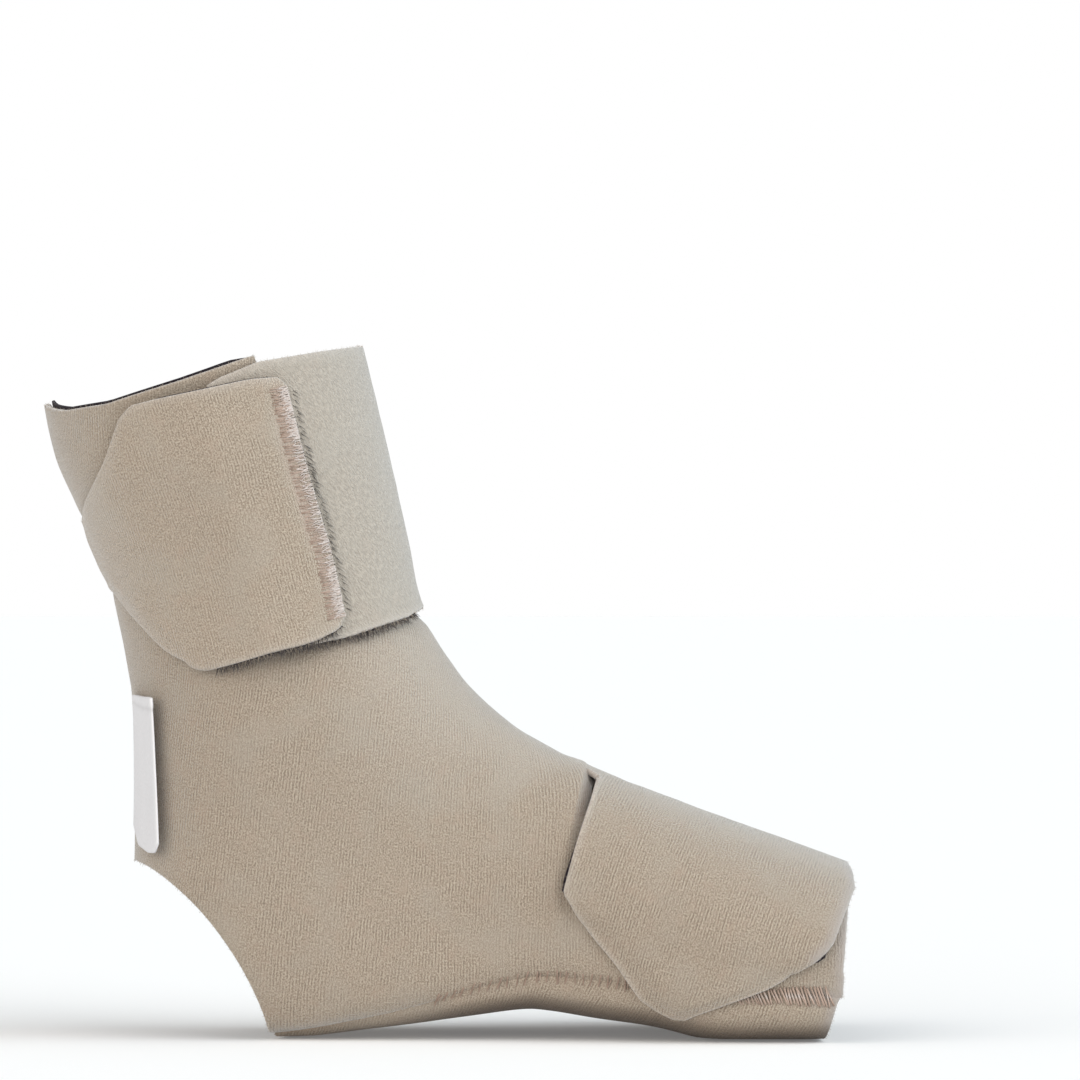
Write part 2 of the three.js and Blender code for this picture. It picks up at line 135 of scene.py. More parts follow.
# The boot's face
def smooth_curve(rows):
    """A smooth curve through a table's rows. Its argument counts the rows."""
    rows = np.asarray(rows, float)
    ends = np.vstack([2 * rows[0] - rows[1], rows, 2 * rows[-1] - rows[-2]])
    gaps = np.sqrt(np.linalg.norm(np.diff(ends, axis=0), axis=1))

    def at(where):
        where = np.clip(np.asarray(where, float), 0, len(rows) - 1)
        row = np.minimum(where.astype(int), len(rows) - 2)
        share = (where - row)[..., None]
        a, b, c, d = (ends[row + step] for step in range(4))
        before, here, after = (gaps[row + step][..., None] for step in range(3))
        here = np.where(here < 1e-4, 1.0, here)
        before = np.where(before < 1e-4, here, before)
        after = np.where(after < 1e-4, here, after)
        start = ((b - a) / before - (c - a) / (before + here) + (c - b) / here) * here
        end = ((c - b) / here - (d - b) / (here + after) + (d - c) / after) * here
        bend = 3 * (c - b) - 2 * start - end
        turn = 2 * (b - c) + start + end
        return b + start * share + bend * share**2 + turn * share**3

    return at


front_line = smooth_curve(SECTIONS[:, 0:2])
back_line = smooth_curve(SECTIONS[:, 2:4])
half_widths = smooth_curve(SECTIONS[:, [4, 5, 9]])
fullness = smooth_curve(SECTIONS[:, [7, 8, 6]] * [1, 1, 10])
seam_rise = smooth_curve(SECTIONS[:, 10:11])


def face_point(section, angle):
    """Points of the face. angle is 0 on the front line, grows by the medial side, and is pi on the back line."""
    section, angle = np.broadcast_arrays(np.asarray(section, float), np.asarray(angle, float))
    front, back = front_line(section), back_line(section)
    width, full = half_widths(section), fullness(section)
    middle = front + (back - front) * full[..., 2:3] / 10
    forward = np.cos(angle) >= 0
    power = 2 / np.where(forward, full[..., 0], full[..., 1])
    reach = np.abs(np.cos(angle)) ** power
    spread = np.abs(np.sin(angle)) ** power
    across = middle + (np.where(forward[..., None], front, back) - middle) * reach[..., None]
    side = np.where(np.sin(angle) >= 0, -width[..., 0] * spread, width[..., 1] * spread)
    side = side + np.where(forward, width[..., 2] * reach, 0)
    return np.stack([across[..., 0], side, np.maximum(across[..., 1], 0)], axis=-1)


def unit(vectors):
    """Vectors brought to length 1."""
    return vectors / np.maximum(np.linalg.norm(vectors, axis=-1, keepdims=True), 1e-12)


def fade(distance, width):
    """1 at no distance, dying away over about the width."""
    return np.exp(-((distance / width) ** 2))


def rise(value, start, run):
    """0 up to the start, 1 from a run further on, and even between. A negative run goes the other way."""
    return np.clip((value - start) / run, 0, 1)


def run_length(line):
    """Length along a line up to each of its points."""
    return np.concatenate([[0], np.cumsum(np.linalg.norm(np.diff(line, axis=0), axis=1))])


def face_normal(section, angle, step=0.02):
    """The outward direction of the face."""
    low, high = np.maximum(section - step, 0), np.minimum(section + step, LAST)
    along = face_point(high, angle) - face_point(low, angle)
    around = face_point(section, angle + step) - face_point(section, angle - step)
    return unit(np.cross(around, along))


def off_face(section, angle, height):
    """Points off the face by some height, negative towards the inside."""
    section, angle = np.asarray(section, float), np.asarray(angle, float)
    height = np.asarray(height, float)[..., None]
    return face_point(section, angle) + face_normal(section, angle) * height


def angle_of(turn, section):
    """The angle of a turn as it is seen from the side."""
    turn, section = np.broadcast_arrays(np.asarray(turn, float), np.asarray(section, float))
    full = fullness(section)
    widest = full[..., 2] / 10
    size = np.abs(turn)
    beyond = size > 1
    size = np.where(beyond, 2 - size, size)
    ahead = np.arccos(np.clip((widest - size) / widest, 0, 1) ** (full[..., 0] / 2))
    behind = np.pi - np.arccos(np.clip((size - widest) / (1 - widest), 0, 1) ** (full[..., 1] / 2))
    angle = np.where(size <= widest, ahead, behind)
    angle = np.where(beyond, 2 * np.pi - angle, angle)
    return np.where(turn < 0, -angle, angle)


HALVINGS = 30


def clear_of_hole(x, z):
    """Whether places in the side view lie outside the heel hole."""
    power = HEEL_HOLE["roundness"]
    return (x / HEEL_HOLE["length"]) ** power + (z / HEEL_HOLE["height"]) ** power >= 1


def last_clear(clear_at, cloth, hole):
    """Where the heel hole begins between places on the cloth and places in the hole, found by halving."""
    for _ in range(HALVINGS):
        middle = (cloth + hole) / 2
        clear = clear_at(middle)
        cloth, hole = np.where(clear, middle, cloth), np.where(clear, hole, middle)
    return cloth


def hole_turn(section):
    """The turn at which a section meets the heel hole's edge."""
    front, back = front_line(section), back_line(section)

    def clear_at(turn):
        point = np.maximum(front + (back - front) * turn[..., None], 0)
        return clear_of_hole(point[..., 0], point[..., 1])

    cloth, hole = np.zeros(np.shape(section)), np.ones(np.shape(section))
    return np.where(clear_at(hole), 1.0, last_clear(clear_at, cloth, hole))


def edge_turn(section, inset=0.0):
    """The turn of the upper's lower edge: the heel hole's edge, then the sole seam, moved up by inset."""
    section = np.asarray(section, float)
    height = np.linalg.norm(front_line(section) - back_line(section), axis=-1)
    seam = 1 - np.maximum(seam_rise(section)[..., 0] + inset, 0) / height
    return np.where(section < HOLE_END, np.minimum(hole_turn(section), seam), seam)


def hole_section(angle):
    """The section at which a line of constant angle by the back meets the heel hole's top edge."""
    def clear_at(section):
        point = np.maximum(face_point(section, angle), 0)
        return clear_of_hole(point[..., 0], point[..., 2])

    cloth, hole = np.full(np.shape(angle), HOLE_TOP - 0.5), np.full(np.shape(angle), HOLE_TOP + 1.0)
    return last_clear(clear_at, cloth, hole)


HOLE_SHIFT = float(hole_section(np.array(HOLE_CORNER))) - HOLE_TOP  # how far the corner lies below, in sections


# Grids of points on the face
def fine_sections(first, last, spacing):
    """Sections about one mesh spacing apart on the medial side, with every table section among them."""
    found = []
    for k in range(first, last):
        ends = face_point(np.array([k, k + 1.0])[:, None], np.radians([60, 90, 120, 150])[None, :])
        count = max(2, round(float(np.linalg.norm(ends[1] - ends[0], axis=-1).mean()) / spacing))
        found.extend(k + n / count for n in range(count))
    return np.array(found + [float(last)])


TRIAL_ANGLES = 97


def even_angles(section, stops, counts):
    """Angles along one section, evenly spaced on the face between each two stops."""
    angles = []
    for a, b, count in zip(stops[:-1], stops[1:], counts):
        trial = np.linspace(a, b, TRIAL_ANGLES)
        length = run_length(face_point(section, trial))
        angles.extend(np.interp(np.linspace(0, length[-1], count + 1)[:-1], length, trial))
    return angles + [stops[-1]]


def cloth_grid(points, present=None, rings=0):
    """Vertices, faces and the vertex number of each grid point, -1 where no cell is.

    The first rings rows are closed.
    """
    rows, columns = points.shape[:2]
    number = np.arange(rows * columns).reshape(rows, columns)
    number[:rings, -1] = number[:rings, 0]
    cells = np.stack([number[:-1, :-1], number[:-1, 1:], number[1:, 1:], number[1:, :-1]], axis=-1)
    cells = cells[present] if present is not None else cells.reshape(-1, 4)
    used = np.unique(cells)
    renumber = np.full(rows * columns, -1)
    renumber[used] = np.arange(len(used))
    return points.reshape(-1, 3)[used], renumber[cells], renumber[number]


# How far the toe rim draws back, in sections, over the share of the half turn from the front line
TOE_PULL = np.array([[0.1, 0], [0.2, 0.14], [0.3, 0.15], [0.47, 0.15], [0.515, 0.1], [0.54, 0.13]])
SOLE_TOE_CURVE = 0.22  # how much further it draws back under the boot


def within(value, limits):
    return (value > limits[0]) & (value < limits[1])


def upper_grid(spacing, rim_rise=0.0, slot_reach=0.0):
    """The boot-shaped panel between leg rim and toe rim, with the heel hole and the two slots under the straps.

    It rises further at the leg rim, and reaches further under the forefoot strap, by the given sections.
    """
    sections = fine_sections(0, LAST, spacing)
    counts = UPPER_COUNTS[spacing]
    column = np.concatenate([np.linspace(a, b, n, endpoint=False) for a, b, n in
                             zip(UPPER_STOPS[:-1], UPPER_STOPS[1:], counts)] + [[float(LAST_COLUMN)]])
    near_hole = np.clip(1 - np.abs(sections - HOLE_TOP) / HOLE_BLEND, 0, 1)
    angles = []
    for section, share in zip(sections, near_hole):
        stops = (UPPER_STOPS - FRONT_COLUMN) / FRONT_COLUMN * np.pi
        if section > HOLE_TOP:
            lowered = section + HOLE_SHIFT * share
            edge = min(HOLE_CORNER, float(angle_of(edge_turn(lowered), lowered)))
            stops = np.clip((UPPER_STOPS - FRONT_COLUMN) / HOLE_REACH, -1, 1) * edge
        angles.append(even_angles(section, stops, counts))
    angles = np.array(angles)
    drop = np.interp(angles / np.pi, RIM_DROP[:, 0], RIM_DROP[:, 1]) - rim_rise
    from_front = np.abs(column - FRONT_COLUMN)
    shift = np.where(from_front > HOLE_REACH, hole_section(np.abs(angles)) - HOLE_TOP,
                     HOLE_SHIFT * rise(from_front, SIDE_REACH, HOLE_REACH - SIDE_REACH) ** 2)
    near_rim = np.clip(1 - sections[:, None] / RIM_BLEND, 0, 1)
    lowered = sections[:, None] + drop * near_rim + shift * near_hole[:, None]
    toe = np.clip((sections[:, None] - LAST + TOE_BLEND) / TOE_BLEND, 0, 1)
    lowered = lowered - toe * np.interp(np.abs(angles) / np.pi, TOE_PULL[:, 0], TOE_PULL[:, 1])
    points = face_point(lowered, angles)
    above = sections[:-1, None]
    cell = (column[:-1] + column[1:])[None, :] / 2
    slot = (above < STRAP_LOW) & within(cell, ANKLE_SLOT)
    slot_start = np.where(cell < SLOT_STEP, *SLOT_STARTS) + slot_reach
    slot |= (above >= slot_start) & within(cell, FOREFOOT_SLOT)
    hole = (above >= HOLE_TOP) & (np.abs(cell - FRONT_COLUMN) > HOLE_REACH)
    present = ~(slot | hole)
    verts, faces, _ = cloth_grid(points, present, int(np.sum(sections <= HOLE_TOP)))
    return verts, faces, np.broadcast_to(cell > FRONT_COLUMN, present.shape)[present]


SOLE_HALF = 46  # from one seam to the sole's middle
SEAM_OVERLAP = 0.15
SOLE_HEEL_CURVE = 0.18  # how far its heel end draws back towards the toe rim at the middle, in sections


def sole_grid(spacing):
    """The panel under the boot, from the heel hole's end to the toe rim, between the two seams."""
    sections = fine_sections(HOLE_END, LAST, spacing)
    half = round(SOLE_HALF / spacing)
    points = []
    for section in sections:
        edge = float(angle_of(edge_turn(section, -SEAM_OVERLAP), section))
        angles = np.array(even_angles(section, [edge, np.pi, 2 * np.pi - edge], [half, half]))
        across = np.linspace(-1, 1, len(angles))
        start = np.clip(1 - (section - HOLE_END), 0, 1)
        end = np.clip(1 - (LAST - section), 0, 1)
        bowed = section + SOLE_HEEL_CURVE * start * (1 - across**2)
        bowed = bowed - end * (TOE_PULL[-1, 1] + SOLE_TOE_CURVE * np.sqrt(1 - across**2))
        points.append(face_point(bowed, angles))
    return cloth_grid(np.array(points))[:2]


TABLE_STEPS = 10  # steps from one line of a strap's table to the next
STRAP_TRIAL_ROWS = 1500
STRAP_TRIAL = 0.3  # spacing of a strap's trial lines
STRAP_SOFTEN = 5  # trial lines over which a corner of its outline is softened


def between(lines, where):
    """Rows between the rows of an array, by a straight share."""
    row = np.minimum(where.astype(int), len(lines) - 2)
    share = (where - row).reshape(-1, *[1] * (lines.ndim - 1))
    return lines[row] * (1 - share) + lines[row + 1] * share


def strap_lines(table, spacing):
    """Section, angle and lift over a strap: rows from its upper to its lower edge, columns along it."""
    table = np.array(table, float)
    table = between(table, np.linspace(0, len(table) - 1, TABLE_STEPS * (len(table) - 1) + 1))
    ends = face_point(table[:, [1, 3]], angle_of(table[:, [0, 2]], table[:, [1, 3]]))
    rows = round(float(np.linalg.norm(ends[:, 1] - ends[:, 0], axis=1).max()) / spacing)
    share = np.linspace(0, 1, rows + 1)
    section = table[:, 1:2] + (table[:, 3:4] - table[:, 1:2]) * share
    turn = table[:, 0:1] + (table[:, 2:3] - table[:, 0:1]) * share
    lines = np.stack([section, angle_of(turn, section), table[:, 4:5] + 0 * share], axis=-1)
    trial = np.linspace(0, len(table) - 1, STRAP_TRIAL_ROWS)
    dense = between(lines, trial)
    middle = face_point(dense[:, rows // 2, 0], dense[:, rows // 2, 1])
    length = run_length(middle)
    count = round(length[-1] / STRAP_TRIAL)
    even = between(lines, np.interp(np.linspace(0, length[-1], count + 1), length, trial))
    wide = STRAP_SOFTEN // 2
    padded = np.concatenate([2 * even[:1] - even[wide:0:-1], even, 2 * even[-1:] - even[-2:-wide - 2:-1]])
    weight = np.hanning(STRAP_SOFTEN + 2)[1:-1]
    even = sum(w * padded[k:k + len(even)] for k, w in enumerate(weight / weight.sum()))
    columns = round(length[-1] / spacing)
    return between(even, np.linspace(0, len(even) - 1, columns + 1)).transpose(1, 0, 2)


def strap_grid(table, spacing, top):
    """A strap's points at a height above its seat."""
    lines = strap_lines(table, spacing)
    return off_face(lines[..., 0], lines[..., 1], SEAT + lines[..., 2] + top)


# Sheets with a thickness
def sheet_normals(verts, faces):
    """The outward direction at each vertex."""
    normals = np.zeros_like(verts)
    corner = verts[faces]
    face = np.cross(corner[:, 2] - corner[:, 0], corner[:, 3] - corner[:, 1])
    for k in range(4):
        np.add.at(normals, faces[:, k], face)
    return unit(normals)


def open_edges(faces):
    """The edges that only one face has, with that face and its corner."""
    start, end = faces.reshape(-1), np.roll(faces, -1, axis=1).reshape(-1)
    size = int(faces.max()) + 1
    single = ~np.isin(start * size + end, end * size + start)
    where = np.nonzero(single)[0]
    return start[where], end[where], where // 4, where % 4


def point_tree(points):
    """Points ready for finding the nearest ones."""
    tree = kdtree.KDTree(len(points))
    for k, point in enumerate(points):
        tree.insert(point, k)
    tree.balance()
    return tree


def distance_to(verts, line):
    """How far each vertex is from the nearest of a line's points."""
    tree = point_tree(line)
    return np.array([tree.find(point)[2] for point in verts])


RIPPLE_SHIFT = (17.3, 5.1, 9.7)  # from one seed's bumps to the next one's


def ripples(verts, layers):
    """Soft unevenness. Each layer has a height, the size of its bumps and a seed."""
    total = 0
    for height, size, seed in layers:
        shift = Vector([seed * part for part in RIPPLE_SHIFT])
        total = total + height * np.array([noise.noise(Vector(point) / size + shift) for point in verts])
    return total


def to_row(points):
    """Points of the boot's frame in the shared frame, in metres, none below the ground."""
    placed = (np.asarray(points) + BOOT_PLACE) / 1000
    placed[..., 2] = np.maximum(placed[..., 2], 0)
    return placed


def flat_pattern(verts, faces, upright):
    """The sheet laid flat, in metres, turned as it is seen in the upright view."""
    used = np.unique(faces)
    renumber = np.zeros(len(verts), int)
    renumber[used] = np.arange(len(used))
    mesh = bpy.data.meshes.new("pattern")
    mesh.from_pydata(verts[used].tolist(), [], renumber[faces].tolist())
    piece = bpy.data.objects.new("pattern", mesh)
    bpy.context.collection.objects.link(piece)
    bpy.ops.object.select_all(action="DESELECT")
    bpy.context.view_layer.objects.active = piece
    piece.select_set(True)
    bpy.ops.object.mode_set(mode="EDIT")
    bpy.ops.mesh.select_all(action="SELECT")
    bpy.ops.uv.unwrap(method="CONFORMAL", margin=0.0)
    bpy.ops.object.mode_set(mode="OBJECT")
    corners = np.zeros(len(mesh.loops) * 2)
    mesh.uv_layers.active.data.foreach_get("uv", corners)
    owner = np.zeros(len(mesh.loops), int)
    mesh.loops.foreach_get("vertex_index", owner)
    flat = np.zeros((len(used), 2))
    flat[owner] = corners.reshape(-1, 2)
    bpy.data.objects.remove(piece)
    bpy.data.meshes.remove(mesh)
    seen = upright[used]
    a = (flat - flat.mean(axis=0)) @ [1, 1j]
    b = (seen - seen.mean(axis=0)) @ [1, 1j]
    turn = np.vdot(a, b)
    corner = verts[faces]
    area = np.linalg.norm(np.cross(corner[:, 2] - corner[:, 0], corner[:, 3] - corner[:, 1]), axis=1).sum()
    diagonal = a[renumber[faces]]
    p, q = diagonal[:, 2] - diagonal[:, 0], diagonal[:, 3] - diagonal[:, 1]
    flat_area = np.abs((p.conj() * q).imag).sum()
    a = a * turn / abs(turn) * math.sqrt(area / flat_area) / 1000
    laid = np.zeros((len(verts), 2))
    laid[used] = np.stack([a.real, a.imag], axis=1)
    return laid


RIM_STEPS = 4  # steps round a cut edge
LINING_BULGE = 0.3  # how far a lining's cut edge bulges out
cloth_edges = {}  # of each piece: points of its open edges, their outward directions and normals


def mark_points(mesh, name, values):
    """A value at each vertex, for the finishes."""
    mesh.attributes.new(name, "FLOAT", "POINT").data.foreach_set("value", values.astype(np.float32))


def cloth_piece(name, verts, faces, corner_flat, thickness, bulge, material, marks=None):
    """A closed sheet: its face, its back, and a soft rounded rim along every open edge."""
    normals = sheet_normals(verts, faces)
    start, end, owner, corner = open_edges(faces)
    along = unit(verts[end] - verts[start])
    out = np.zeros_like(verts)
    sideways = np.cross(along, normals[start])
    np.add.at(out, start, sideways)
    np.add.at(out, end, sideways)
    out = unit(out)
    rim = np.unique(start)
    place = np.full(len(verts), -1)
    place[rim] = np.arange(len(rim))
    cloth_edges[name] = (verts[rim], out[rim], normals[rim])
    count = len(verts)
    thickness = np.broadcast_to(thickness, count)[:, None]
    layers = [verts, verts - normals * thickness]
    cut = [np.zeros(count), np.ones(count)]
    for k in range(1, RIM_STEPS + 1):
        turn = math.pi * k / (RIM_STEPS + 1)
        depth = thickness[rim] * (1 - math.cos(turn)) / 2
        layers.append(verts[rim] - normals[rim] * depth + out[rim] * bulge * math.sin(turn))
        cut.append(np.full(len(rim), k / (RIM_STEPS + 1)))
    steps = [np.arange(count)] + [2 * count + len(rim) * k + place for k in range(RIM_STEPS)]
    steps.append(count + np.arange(count))
    quads = [faces, faces[:, ::-1] + count]
    flats = [corner_flat, corner_flat[:, ::-1]]
    first, second = corner_flat[owner, corner], corner_flat[owner, (corner + 1) % 4]
    for upper, lower in zip(steps[:-1], steps[1:]):
        quads.append(np.stack([upper[end], upper[start], lower[start], lower[end]], axis=1))
        flats.append(np.stack([second, first, first, second], axis=1))
    mesh = bpy.data.meshes.new(name)
    mesh.from_pydata(to_row(np.concatenate(layers)).tolist(), [], np.concatenate(quads).tolist())
    layer = mesh.uv_layers.new(name="pattern")
    layer.data.foreach_set("uv", np.concatenate(flats).reshape(-1).astype(np.float32))
    mark_points(mesh, "cut", np.concatenate(cut))
    for key, value in (marks or {}).items():
        mark_points(mesh, key, np.concatenate([value, value] + [value[rim]] * RIM_STEPS))
    return finished(name, mesh, material)


def finished(name, mesh, material):
    """The piece that a mesh makes, with its finish, on the part's one body."""
    mesh.materials.append(material)
    mesh.update()
    mesh.validate()
    mesh.shade_smooth()
    piece = bpy.data.objects.new(name, mesh)
    bpy.context.collection.objects.link(piece)
    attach(piece, "root")
    return piece


def side_view(verts, medial):
    """Where points lie in the view from the medial or the lateral side."""
    return np.stack([verts[:, 0] if medial else -verts[:, 0], verts[:, 2]], axis=1)


def flat_both_sides(verts, faces, medial):
    """The corners of the upper's faces, with its medial and its lateral half each laid flat."""
    return np.where(medial[:, None, None], flat_pattern(verts, faces[medial], side_view(verts, True))[faces],
                    flat_pattern(verts, faces[~medial], side_view(verts, False))[faces])


def flat_from_below(verts, faces):
    """The corners of the sole's faces, laid flat as they are seen from below."""
    below = np.stack([verts[:, 0], -verts[:, 1]], axis=1)
    return flat_pattern(verts, faces, below)[faces]


# Finishes
class Value:
    """A value in a finish's nodes. Sums, differences and products of such values add Math nodes."""

    def __init__(self, finish, socket):
        self.finish, self.socket = finish, socket

    def math(self, operation, *others):
        return self.finish.node("ShaderNodeMath", {"operation": operation}, dict(enumerate([self, *others])))

    def __add__(self, other):
        return self.math("ADD", other)

    def __sub__(self, other):
        return self.math("SUBTRACT", other)

    def __mul__(self, other):
        return self.math("MULTIPLY", other)

    def wave(self, length):
        """A sine wave of the given length along this value."""
        return (self * (2 * math.pi / length)).math("SINE")


class Finish:
    """A material and the nodes that make it."""

    def __init__(self, name):
        self.material = bpy.data.materials.new(name)
        self.material.use_nodes = True
        self.tree = self.material.node_tree
        self.shader = self.tree.nodes["Principled BSDF"]

    def node(self, kind, settings=None, inputs=None, out=0):
        made = self.tree.nodes.new(kind)
        for key, value in (settings or {}).items():
            setattr(made, key, value)
        for key, value in (inputs or {}).items():
            self.put(made.inputs[key], value)
        return Value(self, made.outputs[out])

    def put(self, socket, value):
        if isinstance(value, Value):
            self.tree.links.new(value.socket, socket)
        else:
            socket.default_value = value

    def set(self, **sockets):
        for key, value in sockets.items():
            self.put(self.shader.inputs[key.replace("_", " ")], value)
        return self.material

    def millimetres(self, metres):
        return self.node("ShaderNodeVectorMath", {"operation": "SCALE"}, {0: metres, "Scale": 1000.0})

    def pattern(self):
        """The place on the sheet laid flat, in millimetres."""
        return self.millimetres(self.node("ShaderNodeUVMap", {"uv_map": "pattern"}))

    def noise(self, vector, scale, detail=2.0, roughness=0.5, distortion=0.0):
        return self.node("ShaderNodeTexNoise", {"noise_dimensions": "3D"}, {
            "Vector": vector, "Scale": scale, "Detail": detail, "Roughness": roughness, "Distortion": distortion})

    def stretch(self, vector, factors, turn=0.0):
        """A vector turned about its third axis, then scaled."""
        turned = self.node("ShaderNodeMapping", {"vector_type": "POINT"}, {
            "Vector": vector, "Rotation": (0, 0, turn)})
        return self.node("ShaderNodeVectorMath", {"operation": "MULTIPLY"}, {0: turned, 1: factors})

    def part(self, vector, axis):
        return self.node("ShaderNodeSeparateXYZ", None, {0: vector}, axis)

    def ramp(self, value, low, high, start=0.0, end=1.0):
        """A value taken smoothly from one range to another."""
        return self.node("ShaderNodeMapRange", {"interpolation_type": "SMOOTHSTEP"}, {
            "Value": value, "From Min": low, "From Max": high, "To Min": start, "To Max": end})

    def blend(self, share, a, b):
        return self.node("ShaderNodeMix", {"data_type": "RGBA"}, {0: share, 6: a, 7: b}, 2)

    def mark(self, name):
        return self.node("ShaderNodeAttribute", {"attribute_name": name}, None, 2)

    def bump(self, height):
        """Relief from a height in millimetres."""
        return self.node("ShaderNodeBump", None, {"Strength": 1.0, "Distance": 0.001, "Height": height})


PLUSH_LIGHT = (0.470, 0.396, 0.316, 1)
PLUSH_MEAN = (0.370, 0.305, 0.238, 1)
PLUSH_DEEP = (0.245, 0.193, 0.146, 1)
PLUSH_PINK = (0.385, 0.298, 0.232, 1)
PLUSH_GREY = (0.378, 0.333, 0.277, 1)
# dark seams, and painted shade beside the forefoot slit
SEAM_AND_SHADE_BROWN = (0.230, 0.150, 0.105, 1)
BAND_PINK_AND_SHADE = (0.450, 0.352, 0.295, 1)
PALE_EDGE_AND_SHEEN = (0.560, 0.510, 0.465, 1)
TOE_GREY = (0.390, 0.347, 0.318, 1)
# painted shade for the faces that look down
UNDERSIDE_SHADE_BROWN = (0.095, 0.066, 0.045, 1)
STRAP_GREY_AND_SHEEN = (0.432, 0.400, 0.354, 1)
LINING_DEEP, LINING_LIGHT = (0.006, 0.004, 0.006, 1), (0.034, 0.026, 0.034, 1)
SATIN_DEEP, SATIN_LIGHT = (0.62, 0.615, 0.635, 1), (0.69, 0.685, 0.705, 1)
SATIN_FOLD_HIGHLIGHT, SATIN_HEM = (0.86, 0.86, 0.87, 1), (0.46, 0.45, 0.46, 1)
THREAD_DEEP, THREAD_LIGHT = (0.52, 0.455, 0.420, 1), (0.70, 0.640, 0.605, 1)
THREAD_SHADE_TAN, THREAD_SHADE_BROWN = (0.43, 0.320, 0.258, 1), (0.25, 0.170, 0.125, 1)
RIB = 0.9  # millimetres from one knit rib of the plush to the next
RIB_WANDER, RIB_SHAKE = 1.5, 0.45  # millimetres that a rib strays, over a long and a short way
NAP_SWIRL, NAP_ACROSS, NAP_ALONG = 4.0, 1.8, 0.6  # millimetres that brushed strokes stray, and their fineness
RIB_RELIEF, NAP_RELIEF, GRAIN_RELIEF = 0.22, 0.12, 0.16  # millimetres
LINING_RIB, LINING_COURSE = 0.8, 0.6  # from one column and one row of the lining's knit to the next
RIBBON_PICK = 0.28  # from one cross thread of the ribbon to the next
TINT_SHARE = 0.5  # of a strap's tint: its own greyer tone, partly painted sheen
PALE_MOST = 0.75  # most of the pale shade that a cut edge, the pile beside it and the painted sheen take together


def plush(name, rib_lean, rib, nap_lean, nap, grain_weight=2.3, tint=None, seam_colour=SEAM_AND_SHADE_BROWN,
          gain=1.0, sheen=0.85):
    """Short-pile knit: broken ribs, brushed fibres, a soft mottling, dark seams, grey toe edges, and painted light
    and shade: painted shade underneath, beside the forefoot slit and in the tab's sewn band, painted sheen, and
    paler cut edges that are partly a painted highlight.

    Leans are in degrees from upright, positive towards the heel. rib, nap and grain_weight are strengths.
    """
    f = Finish(name)
    mm = f.pattern()
    ribs = f.stretch(mm, (1, 1, 1), -math.radians(rib_lean))
    wander = f.noise(ribs, scale=0.05, detail=1) - 0.5
    shake = f.noise(f.stretch(ribs, (0.35, 0.5, 1)), scale=1.0) - 0.5
    across = f.part(ribs, 0) + wander * RIB_WANDER + shake * RIB_SHAKE
    wale = across.wave(RIB) * 0.5
    broken = f.noise(f.stretch(ribs, (0.9, 0.33, 1)), scale=1.0)
    dashes = f.ramp(broken, low=0.38, high=0.62, start=0.12, end=1.0)
    patches = f.ramp(f.noise(mm, scale=0.07), low=0.36, high=0.6, start=0.3, end=1.0)
    ridge = wale * dashes * patches
    swirl = f.noise(mm, scale=0.05, detail=1) - 0.5
    naps = f.stretch(mm, (1, 1, 1), -math.radians(nap_lean))
    lay = f.part(naps, 0) + swirl * NAP_SWIRL
    strokes = f.node("ShaderNodeCombineXYZ", None, {0: lay * NAP_ACROSS, 1: f.part(naps, 1) * NAP_ALONG})
    fibres = f.noise(strokes, scale=1.0, roughness=0.6, distortion=0.2) - 0.5
    grain = f.noise(f.stretch(ribs, (1.3, 0.75, 1)), scale=2.6, detail=1, roughness=0.6) - 0.5
    tone = f.ramp(ridge * rib + fibres * nap + grain * grain_weight + 0.5, low=0.05, high=0.95)
    # gain makes a lighter copy of the plush colours, painted light for a piece that the lamps leave darker
    deep, light, pink, grey = (tuple(gain * part for part in shade[:3]) + (1,)
                               for shade in (PLUSH_DEEP, PLUSH_LIGHT, PLUSH_PINK, PLUSH_GREY))
    colour = f.blend(tone, deep, light)
    blotches = f.noise(mm, scale=0.16, detail=3, roughness=0.6)
    colour = f.blend(f.ramp(blotches, low=0.5, high=0.75, end=0.45), colour, pink)
    colour = f.blend(f.ramp(f.noise(mm, scale=0.05), low=0.45, high=0.7, end=0.4), colour, grey)
    # a strap's tint, partly painted sheen
    if tint is not None:
        colour = f.blend(TINT_SHARE, colour, tint)
    # cut edges: paler pile, partly a painted highlight on the rounded rim
    cut = (f.mark("cut") - f.mark("sewn")).math("MAXIMUM", 0.0)
    # pale carries the painted sheen where the upper faces ahead, and the paler pile beside the straps' edges
    colour = f.blend((cut + f.mark("pale")).math("MINIMUM", PALE_MOST), colour, PALE_EDGE_AND_SHEEN)
    colour = f.blend(f.mark("toe"), colour, TOE_GREY)
    # painted shade on the faces that look down
    colour = f.blend(f.mark("under"), colour, UNDERSIDE_SHADE_BROWN)
    # seam: dark seams, plus painted shade beside the forefoot slit and in the tab's sewn band
    seam = f.mark("seam") * f.ramp(f.noise(mm, scale=0.9), low=0.3, high=0.7, start=0.35, end=1.0)
    colour = f.blend(seam, colour, seam_colour)
    height = ridge * (RIB_RELIEF * rib) + fibres * (NAP_RELIEF * nap) + grain * (GRAIN_RELIEF * grain_weight)
    return f.set(Base_Color=colour, Roughness=0.95, Specular_IOR_Level=0.15, Sheen_Weight=sheen,
                 Sheen_Roughness=0.4, Sheen_Tint=(0.95, 0.98, 1.0, 1), Normal=f.bump(height))


